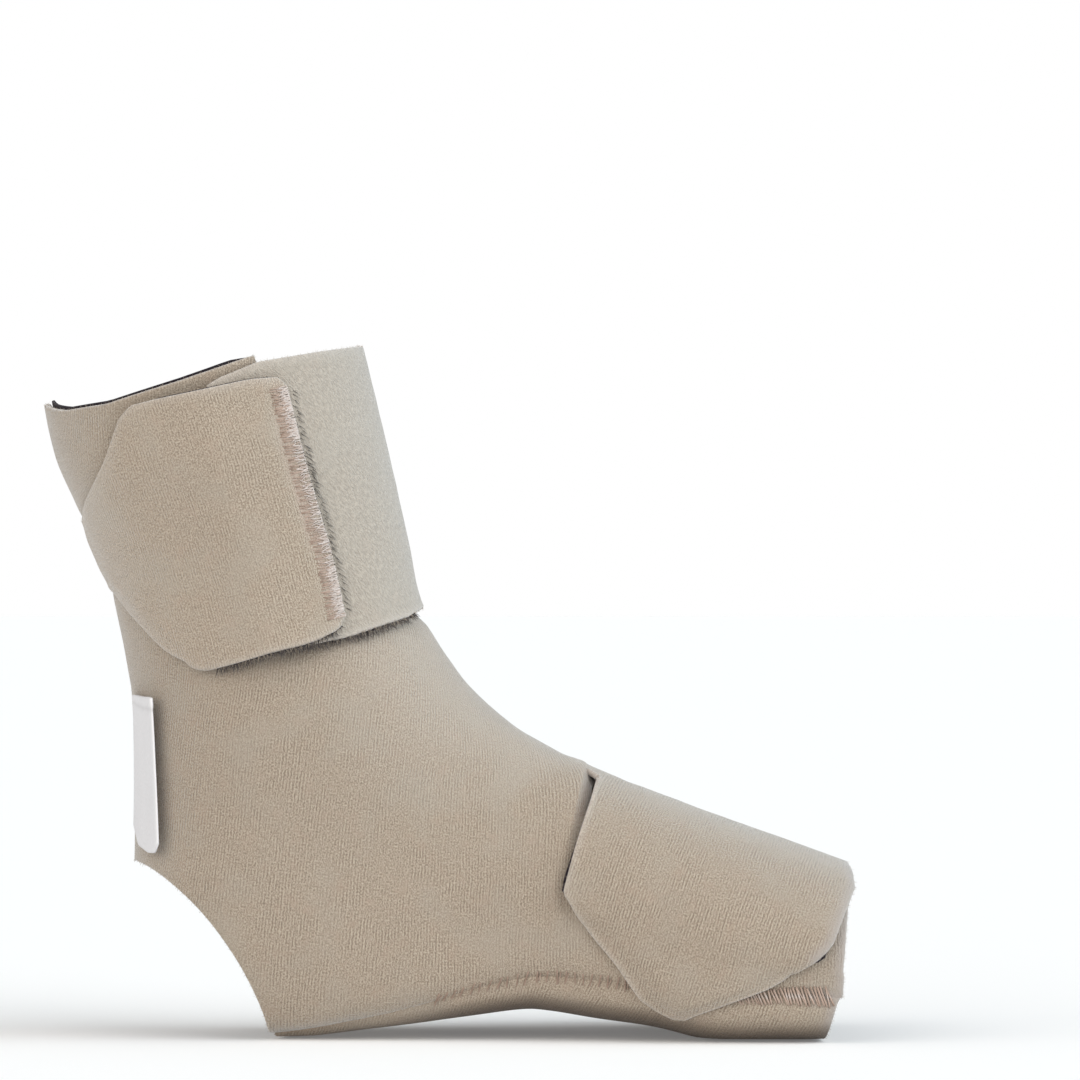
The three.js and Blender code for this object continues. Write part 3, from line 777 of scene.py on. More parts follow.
def dark_lining():
    """Near-black jersey with fine knit columns."""
    f = Finish("dark_lining")
    mm = f.pattern()
    columns = f.part(mm, 0).wave(LINING_RIB)
    rows = f.part(mm, 1).wave(LINING_COURSE)
    knit = columns * 0.5 + columns * rows * 0.3
    grain = f.noise(mm, scale=3.0, detail=3, roughness=0.65)
    tone = f.ramp(knit * 0.35 + grain, low=0.1, high=1.0)
    colour = f.blend(tone, LINING_DEEP, LINING_LIGHT)
    return f.set(Base_Color=colour, Roughness=0.9, Specular_IOR_Level=0.2, Sheen_Weight=0.08,
                 Sheen_Roughness=0.5, Normal=f.bump(knit * 0.06 + grain * 0.1))


def white_satin():
    """Smooth ribbon with a fine cross rib."""
    f = Finish("white_satin")
    mm = f.pattern()
    picks = f.part(mm, 1).wave(RIBBON_PICK)
    grain = f.noise(f.stretch(mm, (6.0, 1.2, 1)), scale=1.0)
    colour = f.blend(f.ramp(grain, low=0.3, high=0.7), SATIN_DEEP, SATIN_LIGHT)
    # painted highlight along the fold
    colour = f.blend(f.mark("fold"), colour, SATIN_FOLD_HIGHLIGHT)
    colour = f.blend(f.mark("hem"), colour, SATIN_HEM)
    return f.set(Base_Color=colour, Roughness=0.42, Specular_IOR_Level=0.4, Sheen_Weight=0.1,
                 Normal=f.bump(picks * 0.008 + grain * 0.03))


def sewing_thread():
    """Pale spun thread, with painted shade that turns it browner where it goes into the cloth."""
    f = Finish("sewing_thread")
    along = f.mark("along")
    mm = f.millimetres(f.node("ShaderNodeTexCoord", None, None, 3))
    spun = f.noise(mm, scale=2.2, detail=3, roughness=0.7)
    colour = f.blend(f.ramp(spun, low=0.3, high=0.7), THREAD_DEEP, THREAD_LIGHT)
    # painted shade, deepest where the thread goes into the cloth
    colour = f.blend(f.ramp(along, low=0, high=0.5), colour, THREAD_SHADE_TAN)
    colour = f.blend(f.ramp(along, low=0.5, high=1), colour, THREAD_SHADE_BROWN)
    return f.set(Base_Color=colour, Roughness=0.8, Specular_IOR_Level=0.25, Sheen_Weight=0.2,
                 Normal=f.bump(spun * 0.12))


def loose_fibre(name, root, tip):
    """A single fibre, of one shade at its root and another at its tip."""
    f = Finish(name)
    colour = f.blend(f.mark("along"), root, tip)
    return f.set(Base_Color=colour, Roughness=0.9, Specular_IOR_Level=0.15, Sheen_Weight=0.2)


body_plush = plush("body_plush", rib_lean=-5, rib=0.75, nap_lean=-5, nap=0.5)
# the tab and the sole take lighter copies of the plush colours by gain, as painted light
tab_plush = plush("tab_plush", rib_lean=14, rib=0.6, nap_lean=14, nap=0.7, grain_weight=2.4,
                  seam_colour=BAND_PINK_AND_SHADE, gain=1.08)
strap_plush = plush("strap_plush", rib_lean=20, rib=0.1, nap_lean=48, nap=3.0, grain_weight=1.6, tint=STRAP_GREY_AND_SHEEN)
forefoot_plush = plush("forefoot_plush", rib_lean=-22, rib=0.85, nap_lean=-22, nap=0.5)
sole_plush = plush("sole_plush", rib_lean=-14, rib=0.8, nap_lean=-14, nap=0.5, gain=1.04, sheen=0.15)
lining_cloth = dark_lining()
satin = white_satin()
thread = sewing_thread()
pale_fibre = loose_fibre("pale_fibre", PLUSH_MEAN, PLUSH_LIGHT)
# dark strands standing in for the shade where the pushed pile parts
nap_shade_fibre = loose_fibre("nap_shade_fibre", (0.040, 0.036, 0.035, 1), (0.230, 0.207, 0.184, 1))
# dark fibres, partly standing in for shadow under the straps and for shade in the needle pits
dark_fibre_and_shade = loose_fibre("dark_fibre_and_shade", (0.035, 0.028, 0.03, 1), (0.150, 0.122, 0.105, 1))


# Upper and sole
SEAM_POINTS = 240
SEAM_SECTIONS = np.linspace(HOLE_END, LAST, SEAM_POINTS)
seam_lines = [face_point(SEAM_SECTIONS, side * angle_of(edge_turn(SEAM_SECTIONS), SEAM_SECTIONS))
              for side in (1, -1)]
seam_line = np.concatenate(seam_lines)
DITCH_DEPTH, DITCH_WIDTH = 0.5, 2.2  # of the furrow along a seam
ROLL_HEIGHT, ROLL_PLACE, ROLL_WIDTH = 0.2, 5.5, 2.6  # of the soft roll on either side of it


def seam_ditch(distance):
    """How far the cloth is pulled in at that distance from a seam."""
    return DITCH_DEPTH * fade(distance, DITCH_WIDTH) - ROLL_HEIGHT * fade(distance - ROLL_PLACE, ROLL_WIDTH)


def edge_line(table, row):
    """Points of a strap's upper edge, row 0, or lower edge, row -1, on the face."""
    lines = strap_lines(table, FINE)[row]
    return face_point(lines[:, 0], lines[:, 1])


TOE_RIM = 192  # edges ahead of this are the toe rim's
TOE_GREY_MOST, TOE_GREY_WIDTH = 0.85, 2.2
UNDERSIDE_SHADE_MOST = 0.9
UNDERSIDE_SHADE_FROM, UNDERSIDE_SHADE_RUN = 0.6, 0.35  # how far down a face looks where the painted shade begins, and until it is full
HEEL_SPARED = 0.25  # how much further down that is beside the heel
HEEL_SPARED_TO, HEEL_SPARED_RUN = 100, 30  # where that ends, from the back of the heel, and its run


def painted_underside_shade(verts, normals):
    """How much painted shade darkens the faces that look down, less beside the heel."""
    least = UNDERSIDE_SHADE_FROM + HEEL_SPARED * rise(verts[:, 0], HEEL_SPARED_TO, -HEEL_SPARED_RUN)
    return UNDERSIDE_SHADE_MOST * rise(-normals[:, 2], least, UNDERSIDE_SHADE_RUN)


def toe_grey(verts, faces):
    """How much the pile turns grey towards the toe rim's cut edge."""
    rim = np.unique(open_edges(faces)[0])
    rim = rim[verts[rim, 0] > TOE_RIM]
    return TOE_GREY_MOST * fade(distance_to(verts, verts[rim]), TOE_GREY_WIDTH)


# Depth and width of the press mark along the edges of each strap
ANKLE_PRESS, TAB_PRESS, FOREFOOT_PRESS = (0.5, 4), (0.4, 3.5), (1.1, 3.4)
SLIT_ANGLES = (0.25, 0.46 * np.pi)  # where the forefoot strap's back edge stands off the instep


def pressed(verts):
    """How far the straps' edges press the cloth in beside them."""
    lines = strap_lines(FOREFOOT_STRAP, FINE)[0]
    slit = within(lines[:, 1], SLIT_ANGLES)
    edges = (
        (edge_line(ANKLE_STRAP, -1), ANKLE_PRESS),
        (np.concatenate([edge_line(ANKLE_TAB, -1), edge_line(ANKLE_TAB, 0)]), TAB_PRESS),
        (face_point(lines[slit, 0], lines[slit, 1]), FOREFOOT_PRESS),
    )
    return sum(depth * fade(distance_to(verts, line), width) for line, (depth, width) in edges)


SLIT_SHADE_ANGLES = np.linspace(0.3, 0.75, 40)  # angles of the slit beside which brown shade is painted on the upper
SLIT_SHADE_SECTION = SLOT_BACK + 0.55
# painted brown shade beside the top of the forefoot slit
SLIT_SHADE, SLIT_SHADE_WIDTH = 0.5, 2.4
SEAM_WEAR, SEAM_WEAR_WIDTH = 0.1, 1.6
SEWN_WIDTH = 2  # from a seam, over which a cut edge isn't pale
PAINTED_SHEEN, PAINTED_SHEEN_FROM, PAINTED_SHEEN_RUN = 0.17, 0.12, 0.35  # painted sheen: paler where the upper faces ahead
UPPER_RIPPLES = ((0.45, 26, 1), (0.16, 9, 2))
SOLE_RIPPLES = ((0.2, 18, 3),)
OFF_GROUND = 0.4  # the sole is flat below this
LINING_DEPTH = PLUSH + 0.3  # from the face to the lining

verts, faces, medial = upper_grid(FINE)
normals = sheet_normals(verts, faces)
to_seam = distance_to(verts, seam_line)
to_slit_shade = distance_to(verts, face_point(SLIT_SHADE_SECTION, SLIT_SHADE_ANGLES))
swell = ripples(verts, UPPER_RIPPLES) - seam_ditch(to_seam) - pressed(verts)
verts = verts + normals * swell[:, None]
# the seam mark carries the sole seam's dark line and painted shade beside the forefoot slit
upper = cloth_piece(
    "upper_cloth", verts, faces, flat_both_sides(verts, faces, medial), PLUSH, bulge=0.55, material=body_plush,
    marks={
        "seam": SEAM_WEAR * fade(to_seam, SEAM_WEAR_WIDTH) + SLIT_SHADE * fade(to_slit_shade, SLIT_SHADE_WIDTH),
        "sewn": fade(to_seam, SEWN_WIDTH), "under": painted_underside_shade(verts, normals),
        "pale": PAINTED_SHEEN * rise(normals[:, 0], PAINTED_SHEEN_FROM, PAINTED_SHEEN_RUN), "toe": toe_grey(verts, faces)})
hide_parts("upper_panel")

verts, faces, medial = upper_grid(COARSE, rim_rise=0.045, slot_reach=1.8)
verts = verts - sheet_normals(verts, faces) * LINING_DEPTH
upper_back = cloth_piece("upper_jersey", verts, faces, flat_both_sides(verts, faces, medial), LINING,
                         LINING_BULGE, lining_cloth)
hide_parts("upper_lining")

verts, faces = sole_grid(FINE)
normals = sheet_normals(verts, faces)
to_seam = distance_to(verts, seam_line)
pull = seam_ditch(to_seam) - ripples(verts, SOLE_RIPPLES)
verts = verts - normals * (pull * (verts[:, 2] > OFF_GROUND))[:, None]
verts[:, 2] = np.maximum(verts[:, 2], 0)
sole = cloth_piece(
    "sole_cloth", verts, faces, flat_from_below(verts, faces), PLUSH, bulge=0.45, material=sole_plush,
    marks={
        "seam": SEAM_WEAR * fade(to_seam, SEAM_WEAR_WIDTH), "sewn": fade(to_seam, SEWN_WIDTH),
        "under": painted_underside_shade(verts, normals), "toe": toe_grey(verts, faces)})
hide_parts("sole_panel")

verts, faces = sole_grid(COARSE)
verts = verts - sheet_normals(verts, faces) * LINING_DEPTH
sole_back = cloth_piece("sole_jersey", verts, faces, flat_from_below(verts, faces), LINING,
                        LINING_BULGE, lining_cloth)
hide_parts("sole_lining")


# Straps
STRAP_RIPPLES = ((0.22, 14, 4), (0.1, 6, 5))
PRESS_THINS, PRESS_MOST = 0.45, 2  # share by which pressing thins the plush, and the most that counts
RIM_PALE, RIM_PALE_WIDTH = 0.25, 1.1  # of the paler pile beside a strap's cut edge, partly a painted highlight
PLY_GAP, PLY_TRIM = 0.08, 0.12  # air between a strap's layers, and what its backing is thinner by


def strap(name, table, whole, plush_depth, material, relief=None, backing_reach=0.0, backing=None, shape=None):
    """A strap's plush layer and dark backing, both standing for one solid, and the plush's points and normals.

    shape moves the plush's points, relief says how far it is pressed and where its sewn band is, backing is the
    backing's own table, and backing_reach how much further its dark edge stands out, partly as a dark line standing
    in for the shadow along the strap's edge.
    """
    points = strap_grid(table, FINE, whole)
    if shape is not None:
        points = shape(points)
    verts, faces, number = cloth_grid(points)
    normals = sheet_normals(verts, faces)
    swell = ripples(verts, STRAP_RIPPLES)
    press, seam = np.zeros(len(verts)), np.zeros(len(verts))
    if relief is not None:
        press, seam = relief(points)
    verts = verts + normals * (swell - press)[:, None]
    flat = flat_pattern(verts, faces, side_view(verts, True))
    depth = plush_depth - PRESS_THINS * np.clip(press, 0, PRESS_MOST)
    rim = np.unique(open_edges(faces)[0])
    pale = RIM_PALE * fade(distance_to(verts, verts[rim]), RIM_PALE_WIDTH)
    marks = {"seam": seam, "under": painted_underside_shade(verts, normals), "pale": pale}
    if verts[:, 0].max() > TOE_RIM:
        marks["toe"] = toe_grey(verts, faces)
    front = cloth_piece(name + "_cloth", verts, faces, flat[faces], depth, bulge=0.5, material=material, marks=marks)
    back_verts, back_faces, _ = cloth_grid(strap_grid(backing or table, COARSE, whole - plush_depth - PLY_GAP))
    flat = flat_pattern(back_verts, back_faces, side_view(back_verts, True))
    back = cloth_piece(name + "_backing", back_verts, back_faces, flat[back_faces], whole - plush_depth - PLY_TRIM,
                       LINING_BULGE + backing_reach, lining_cloth)
    for piece, slot in ((front, "plush"), (back, "lining")):
        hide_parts(name)
    return front, back, verts[number], sheet_normals(verts, faces)[number]


STITCH_BAND = 6.2  # width of the sewn band along the tab's front edge


def from_edges(points):
    """Distances over a strap from its upper and from its lower edge."""
    run = np.linalg.norm(np.diff(points, axis=0), axis=2)
    across = np.concatenate([np.zeros((1, points.shape[1])), np.cumsum(run, axis=0)])
    return across, across[-1:] - across


RIDGE_ROWS = 10  # lines of the forefoot strap that are let into the instep
RIDGE_END, RIDGE_RUN = 0.27, 0.11  # angle where that ends on the medial side, and its run
RIDGE_SIDE, RIDGE_SIDE_RUN = -0.8, 0.5  # angle from which the line moves back to the instep, and its run
RIDGE_START = SLOT_BACK - 0.5  # section of the line at the instep
SIDE_START = 0.1  # sections from the line to the strap's own edge on the lateral side
RIDGE_DEPTH = 0.2  # of the line below the face


def merged_ridge(points):
    """The forefoot strap with its back edge let into the instep along the ridge."""
    section, angle, _ = strap_lines(FOREFOOT_STRAP, FINE)[0].T
    weight = rise(angle, RIDGE_END, -RIDGE_RUN)
    back = rise(angle, RIDGE_SIDE, RIDGE_SIDE_RUN)
    start = off_face((section - SIDE_START) * (1 - back) + RIDGE_START * back, angle, -RIDGE_DEPTH)
    share = np.linspace(0, 1, RIDGE_ROWS)[:, None, None]
    bridge = start + (points[RIDGE_ROWS - 1] - start) * share
    merged = points.copy()
    merged[:RIDGE_ROWS] += (bridge - merged[:RIDGE_ROWS]) * (weight * weight * (3 - 2 * weight))[:, None]
    return merged


# Depth and width of the press along the edges of the forefoot strap's end, and the share of the half turn where it
# begins, with its run
UPPER_TUCK, UPPER_TUCK_FROM = (1.9, 6), (0.455, 0.05)
LOWER_TUCK, LOWER_TUCK_FROM = (1.3, 5), (0.43, 0.07)
TUCK_MOST = 1.6


def tucked_edge(points):
    """The forefoot strap's end, whose slanting edges lie flat on the boot."""
    share = strap_lines(FOREFOOT_STRAP, FINE)[..., 1] / np.pi
    upper, lower = from_edges(points)
    press = UPPER_TUCK[0] * fade(upper, UPPER_TUCK[1]) * rise(share[:1], *UPPER_TUCK_FROM)
    press = press + LOWER_TUCK[0] * fade(lower, LOWER_TUCK[1]) * rise(share[-1:], *LOWER_TUCK_FROM)
    return np.minimum(press, TUCK_MOST).reshape(-1), np.zeros(press.size)


SEWN_PRESS, SEWN_RUN, SEWN_CURVE = 0.85, STITCH_BAND + 1.2, 0.6  # depth, reach and curve of the press
SEWN_ROLL, SEWN_ROLL_PLACE, SEWN_ROLL_WIDTH = 0.3, 9, 2.5  # of the soft roll behind the band
BAND_SHADE = 0.9  # of the band's pink, partly the dense thread's tone and partly painted shade where the band is sunk, which fades out towards the tab's edges:
BAND_END, BAND_END_RUN = STITCH_BAND + 0.2, 0.8  # behind,
BAND_FRONT, BAND_FRONT_RUN, BAND_FRONT_LEAST = 1.5, 2.5, 0.2  # in front,
BAND_TOP, BAND_BOTTOM, BAND_SIDE_RUN = 1.2, 1.5, 1.5  # above and below
TAIL_PRESS, TAIL_FROM, TAIL_RUN = 1.45, 0.62, 0.3  # of the tab's back end, by the share of the half turn
TAIL_RIM_PRESS, TAIL_RIM_WIDTH, TAIL_RIM_FROM, TAIL_RIM_RUN = 0.9, 4, 0.6, 0.1  # and of its edges there


def sewn_edge(points):
    """The tab's front edge, pressed thin by its stitches, and its flattened back end."""
    run = np.linalg.norm(np.diff(points, axis=1), axis=2)
    along = np.concatenate([np.zeros((len(points), 1)), np.cumsum(run, axis=1)], axis=1)
    press = SEWN_PRESS * np.clip(1 - along / SEWN_RUN, 0, 1) ** SEWN_CURVE
    press = press - SEWN_ROLL * fade(along - SEWN_ROLL_PLACE, SEWN_ROLL_WIDTH)
    upper, lower = from_edges(points)
    # the band's pink: the thread's tone, partly painted shade of the sunken band
    seam = BAND_SHADE * rise(along, BAND_END, -BAND_END_RUN)
    seam = seam * np.maximum(rise(along, BAND_FRONT, BAND_FRONT_RUN), BAND_FRONT_LEAST)
    seam = seam * rise(upper, BAND_TOP, BAND_SIDE_RUN) * rise(lower, BAND_BOTTOM, BAND_SIDE_RUN)
    share = strap_lines(ANKLE_TAB, FINE)[..., 1] / np.pi
    back = rise(share, TAIL_FROM, TAIL_RUN)
    nearest = np.minimum(np.minimum(upper, lower), along[:, -1:] - along)
    thin = TAIL_RIM_PRESS * fade(nearest, TAIL_RIM_WIDTH) * rise(share, TAIL_RIM_FROM, TAIL_RIM_RUN)
    return (press + TAIL_PRESS * back**2 + thin).reshape(-1), seam.reshape(-1)


TAB_BACKING = ANKLE_TAB[:5] + [  # narrower at the back end, out of sight
    [0.69, 0.4, 0.69, 4.25, 0], [0.735, 0.62, 0.745, 3.8, 0], [0.79, 1.05, 0.81, 3.5, 0],
    [0.86, 1.7, 0.87, 3.2, 0], [0.92, 2.25, 0.92, 2.95, 0],
]
FOREFOOT_BACKING = [  # a little wider where a dark edge shows, partly standing in for the shadow in the slit, and narrower at both ends
    [-0.69, 16.2, -0.69, 19.75, 0], [-0.3, 16.1, -0.3, 19.87, 0], [-0.1, 15.9, -0.1, 19.87, 0],
    [0, 15.6, 0, 19.9, 0], [0.1, 14.9, 0.1, 19.85, 0], [0.3, 14.62, 0.25, 19.72, 0], [0.42, 14.4, 0.35, 19.6, 0],
    [0.485, 14.36, 0.4, 19.5, 0], [0.51, 15.2, 0.455, 19.5, 0], [0.56, 15.6, 0.505, 19.46, 0],
    [0.6, 15.85, 0.54, 19, 0], [0.7, 16.4, 0.61, 18.55, 0], [0.76, 16.7, 0.69, 18.15, 0],
    [0.81, 17, 0.77, 17.75, 0],
]
# backing_reach pushes each backing's dark edge out, partly standing in for the shadow along the straps' edges
ankle, ankle_back, ankle_laid, ankle_normals = strap(
    "ankle_strap", ANKLE_STRAP, STRAP, STRAP_PLUSH, strap_plush, backing_reach=0.1)
tab, tab_back, tab_laid, tab_normals = strap(
    "ankle_tab", ANKLE_TAB, TAB, TAB_PLUSH, tab_plush, sewn_edge, backing_reach=0.4, backing=TAB_BACKING)
fore, fore_back, fore_laid, fore_normals = strap(
    "forefoot_strap", FOREFOOT_STRAP, STRAP, STRAP_PLUSH, forefoot_plush, tucked_edge, backing_reach=0.2,
    backing=FOREFOOT_BACKING, shape=merged_ridge)


# Label: a ribbon folded in two, its ends caught in the back seam
LABEL_PLY = 0.24
LABEL_SPACING = 0.9  # of its mesh
LABEL_OUTER, LABEL_INNER = 0.6, 0.05  # height of its two layers off their seat
FOLD_REACH, FOLD_STEPS = 0.32, 9
FOLD_HIGHLIGHT, FOLD_WIDTH = 0.8, 0.8  # of the painted highlight along the fold
LABEL_HEM, HEM_HEIGHT, HEM_RUN = 1.8, 0.16, 0.3
HEM_SHADE, HEM_WIDTH = 0.5, 0.5  # of the line below the hem
LABEL_ROW = 5  # row of its mesh on which the width is measured


def label_points():
    """Points of the outer layer, the fold and the inner layer, and the number of columns of one layer."""
    outer = strap_grid(BACK_LABEL, LABEL_SPACING, LABEL_OUTER)
    inner = strap_grid(BACK_LABEL, LABEL_SPACING, LABEL_INNER)
    out = unit(outer[:, -1] - outer[:, -3])
    middle, half = (outer[:, -1] + inner[:, -1]) / 2, (outer[:, -1] - inner[:, -1]) / 2
    fold = [middle + half * math.cos(a) + out * FOLD_REACH * math.sin(a)
            for a in np.linspace(0, math.pi, FOLD_STEPS)[1:-1]]
    return np.concatenate([outer, np.stack(fold, axis=1), inner[:, ::-1]], axis=1), outer.shape[1]


points, outer_columns = label_points()
verts, faces, _ = cloth_grid(points[:, ::-1])
flat_rows, flat_columns = run_length(points[:, 0]) / 1000, run_length(points[LABEL_ROW]) / 1000
flat = np.stack(np.meshgrid(flat_columns[::-1], -flat_rows), axis=-1).reshape(-1, 2)
down = np.repeat(flat_rows * 1000, points.shape[1])
across = np.tile((np.abs(flat_columns - flat_columns[outer_columns]) * 1000)[::-1], len(points))
verts = verts + sheet_normals(verts, faces) * (HEM_HEIGHT * rise(down, LABEL_HEM, -HEM_RUN))[:, None]
label = cloth_piece("label_ribbon", verts, faces, flat[faces], LABEL_PLY, bulge=0.03, material=satin, marks={
    "fold": FOLD_HIGHLIGHT * fade(across, FOLD_WIDTH), "hem": HEM_SHADE * fade(down - LABEL_HEM, HEM_WIDTH)})
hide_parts("label")


# Stitches
THREAD_SIDES = 5
THREAD_TAPER = 0.6  # of a thread's radius at its ends


def thread_piece(name, paths, ups, dark, radius):
    """Short lengths of thread along paths of equal numbers of points, joined in one mesh."""
    paths, ups = np.array(paths), np.array(ups)
    along = unit(np.gradient(paths, axis=1))
    side = unit(np.cross(along, ups))
    up = np.cross(side, along)
    turns = np.arange(THREAD_SIDES) * 2 * math.pi / THREAD_SIDES
    taper = np.ones(paths.shape[1])
    taper[[0, -1]] = THREAD_TAPER
    ring = side[:, :, None] * np.cos(turns)[:, None] + up[:, :, None] * np.sin(turns)[:, None]
    thick = np.broadcast_to(radius, len(paths))[:, None] * taper
    points = paths[:, :, None] + ring * thick[:, :, None, None]
    count, steps = paths.shape[:2]
    number = np.arange(count * steps * THREAD_SIDES).reshape(count, steps, THREAD_SIDES)
    nxt = np.roll(number, -1, axis=2)
    quads = np.stack([number[:, :-1], number[:, 1:], nxt[:, 1:], nxt[:, :-1]], axis=-1).reshape(-1, 4)
    caps = [list(row[::-1]) for row in number[:, 0]] + [list(row) for row in number[:, -1]]
    mesh = bpy.data.meshes.new(name)
    mesh.from_pydata(to_row(points.reshape(-1, 3)).tolist(), [], quads[:, ::-1].tolist() + caps)
    # dark carries each thread's painted shade
    mark_points(mesh, "along", np.broadcast_to(np.array(dark)[:, :, None], number.shape).reshape(-1))
    return finished(name, mesh, thread)


NEAREST, NEAREST_SOFTEN = 5, 0.02  # points that a place on a sheet is worked out from, and their blending


def surface_seen(laid, normals):
    """A function that gives the point and normal of a laid sheet where it is seen from the side at x, z."""
    points, ups = laid.reshape(-1, 3), normals.reshape(-1, 3)
    tree = point_tree(points * [1, 0, 1])

    def at(x, z):
        near = tree.find_n((x, 0, z), NEAREST)
        weight = np.array([1 / (gap * gap + NEAREST_SOFTEN) for _, _, gap in near])
        weight /= weight.sum()
        index = [k for _, k, _ in near]
        normal = unit(weight @ ups[index])
        middle = weight @ points[index]
        depth = middle[1] - (normal[0] * (x - middle[0]) + normal[2] * (z - middle[2])) / normal[1]
        return np.array([x, depth, z]), normal

    return at


STITCH_SHARES = (0, 0.1, 0.27, 0.5, 0.73, 0.9, 1)
STITCHED_COLUMNS = 8  # mesh columns that a strap end's stitches reach over
EDGE_STEP, CLOSE_STEP, STEP_SPREAD = 0.72, 0.4, (0.6, 1.4)  # from one stitch to the next, and its unevenness
STRAND_SAG = (-0.35, 0.35)
STRAND_UNEVEN = (-0.06, 0.1)  # of its height
EDGE_LEAST = 0.3  # nearest to the edge that a place on the strap is looked up
ROUND_EDGE, WRAP_OUT, WRAP_DOWN = 0.9, 0.9, 1.5  # where a strand begins to go round the edge, and how far it goes
BEND_OUT, BEND_UP = 0.5, 0.1  # where it bends over the edge
NEEDLE_DEPTH = 0.4
LONG_STRAND = {"lean": (-0.7, 0.7), "reach": (0.84, 1.05), "height": 0.06,
               "edge": (0, 0.35), "far": (0.6, 1.0), "radius": (0.13, 0.2)}
SHORT_STRAND = {"shift": (-0.3, 0.3), "lean": (-1.1, 1.1), "start": (0.0, 0.3), "reach": (0.2, 0.42),
                "height": (0.15, 0.3), "edge": (0, 0.15), "far": (0.1, 0.45), "radius": (0.1, 0.16)}
OFF_EDGE = 0.7  # chance that a short strand begins behind the edge


def edge_stitches(name, laid, normals, band, close):
    """Stitches that wrap a strap's first edge: long sunken strands with short raised ones over them.

    They reach over a band of the given width, and stand closer near its ends.
    """
    paths, ups, dark, thick = [], [], [], []
    surface = surface_seen(laid[:, :STITCHED_COLUMNS], normals[:, :STITCHED_COLUMNS])
    edge = laid[:, 0][:, [0, 2]]
    length = run_length(edge)
    along = unit(edge[-1] - edge[0])
    inward = np.array([along[1], -along[0]])
    inward = inward * np.sign(inward @ (laid[len(laid) // 2, 3] - laid[len(laid) // 2, 0])[[0, 2]])

    def strand(start, lean, first, last, height, shades, radius):
        path, up, shade = [], [], []
        sag = random.uniform(*STRAND_SAG)
        for share in STITCH_SHARES:
            reach = first + (last - first) * share
            place = start + lean * (share - 0.5) + sag * math.sin(math.pi * share)
            base = np.array([np.interp(place, length, edge[:, k]) for k in range(2)])
            point, normal = surface(*(base + inward * max(reach, EDGE_LEAST)))
            if reach <= 0:
                point = point - np.array([inward[0], 0, inward[1]]) * WRAP_OUT - normal * WRAP_DOWN
            elif reach < ROUND_EDGE:
                point = point - np.array([inward[0], 0, inward[1]]) * BEND_OUT + normal * BEND_UP
            elif share in (0, 1):
                point = point - normal * NEEDLE_DEPTH
            else:
                point = point + normal * (height + random.uniform(*STRAND_UNEVEN))
            path.append(point)
            up.append(normal)
            shade.append(shades[0] + (shades[1] - shades[0]) * share)
        paths.append(path)
        ups.append(up)
        dark.append(shade)
        thick.append(radius)

    done = 0.0
    while done < length[-1]:
        tight = min(done, length[-1] - done) < close
        kind = LONG_STRAND
        strand(done, random.uniform(*kind["lean"]), 0, band * random.uniform(*kind["reach"]), kind["height"],
               (random.uniform(*kind["edge"]), random.uniform(*kind["far"])), random.uniform(*kind["radius"]))
        kind = SHORT_STRAND
        for _ in range(3 if tight else 2):
            first = band * random.uniform(*kind["start"])
            last = first + band * random.uniform(*kind["reach"])
            strand(done + random.uniform(*kind["shift"]), random.uniform(*kind["lean"]),
                   first if random.random() < OFF_EDGE else 0, last, random.uniform(*kind["height"]),
                   (random.uniform(*kind["edge"]), random.uniform(*kind["far"])), random.uniform(*kind["radius"]))
        done += (CLOSE_STEP if tight else EDGE_STEP) * random.uniform(*STEP_SPREAD)
    return thread_piece(name, paths, ups, dark, np.array(thick))


TOE_BAND = 33  # length of the close satin stitches at the toe end of a sole seam
SOLE_STITCH_START, SOLE_STITCH_END = 48.0, 4.2  # from the seam's heel end and from the toe rim
STITCH_SUNK = 0.5  # depth of a stitch's ends
SATIN_STITCH = {"lean": (1.9, 3.6), "reach": (1.8, 2.6), "grow": 0.9, "height": (0.1, 0.45),
                "middle": (0.15, 0.45), "ends": (0.55, 0.95), "radius": (0.22, 0.34), "step": (0.6, 1.2)}
SINGLE_STITCH = {"lean": (-0.4, 0.9), "reach": (1.6, 2.4), "height": 0.22, "shades": (0.9, 0.7),
                 "radius": (0.18, 0.27), "step": (2.1, 3.1)}
SECOND_STITCH = {"chance": 0.25, "shift": (0.4, 0.8), "lean": (-0.7, 0.7), "reach": (1.0, 2.0), "height": 0.16,
                 "shades": (0.65, 0.85), "radius": (0.16, 0.24)}


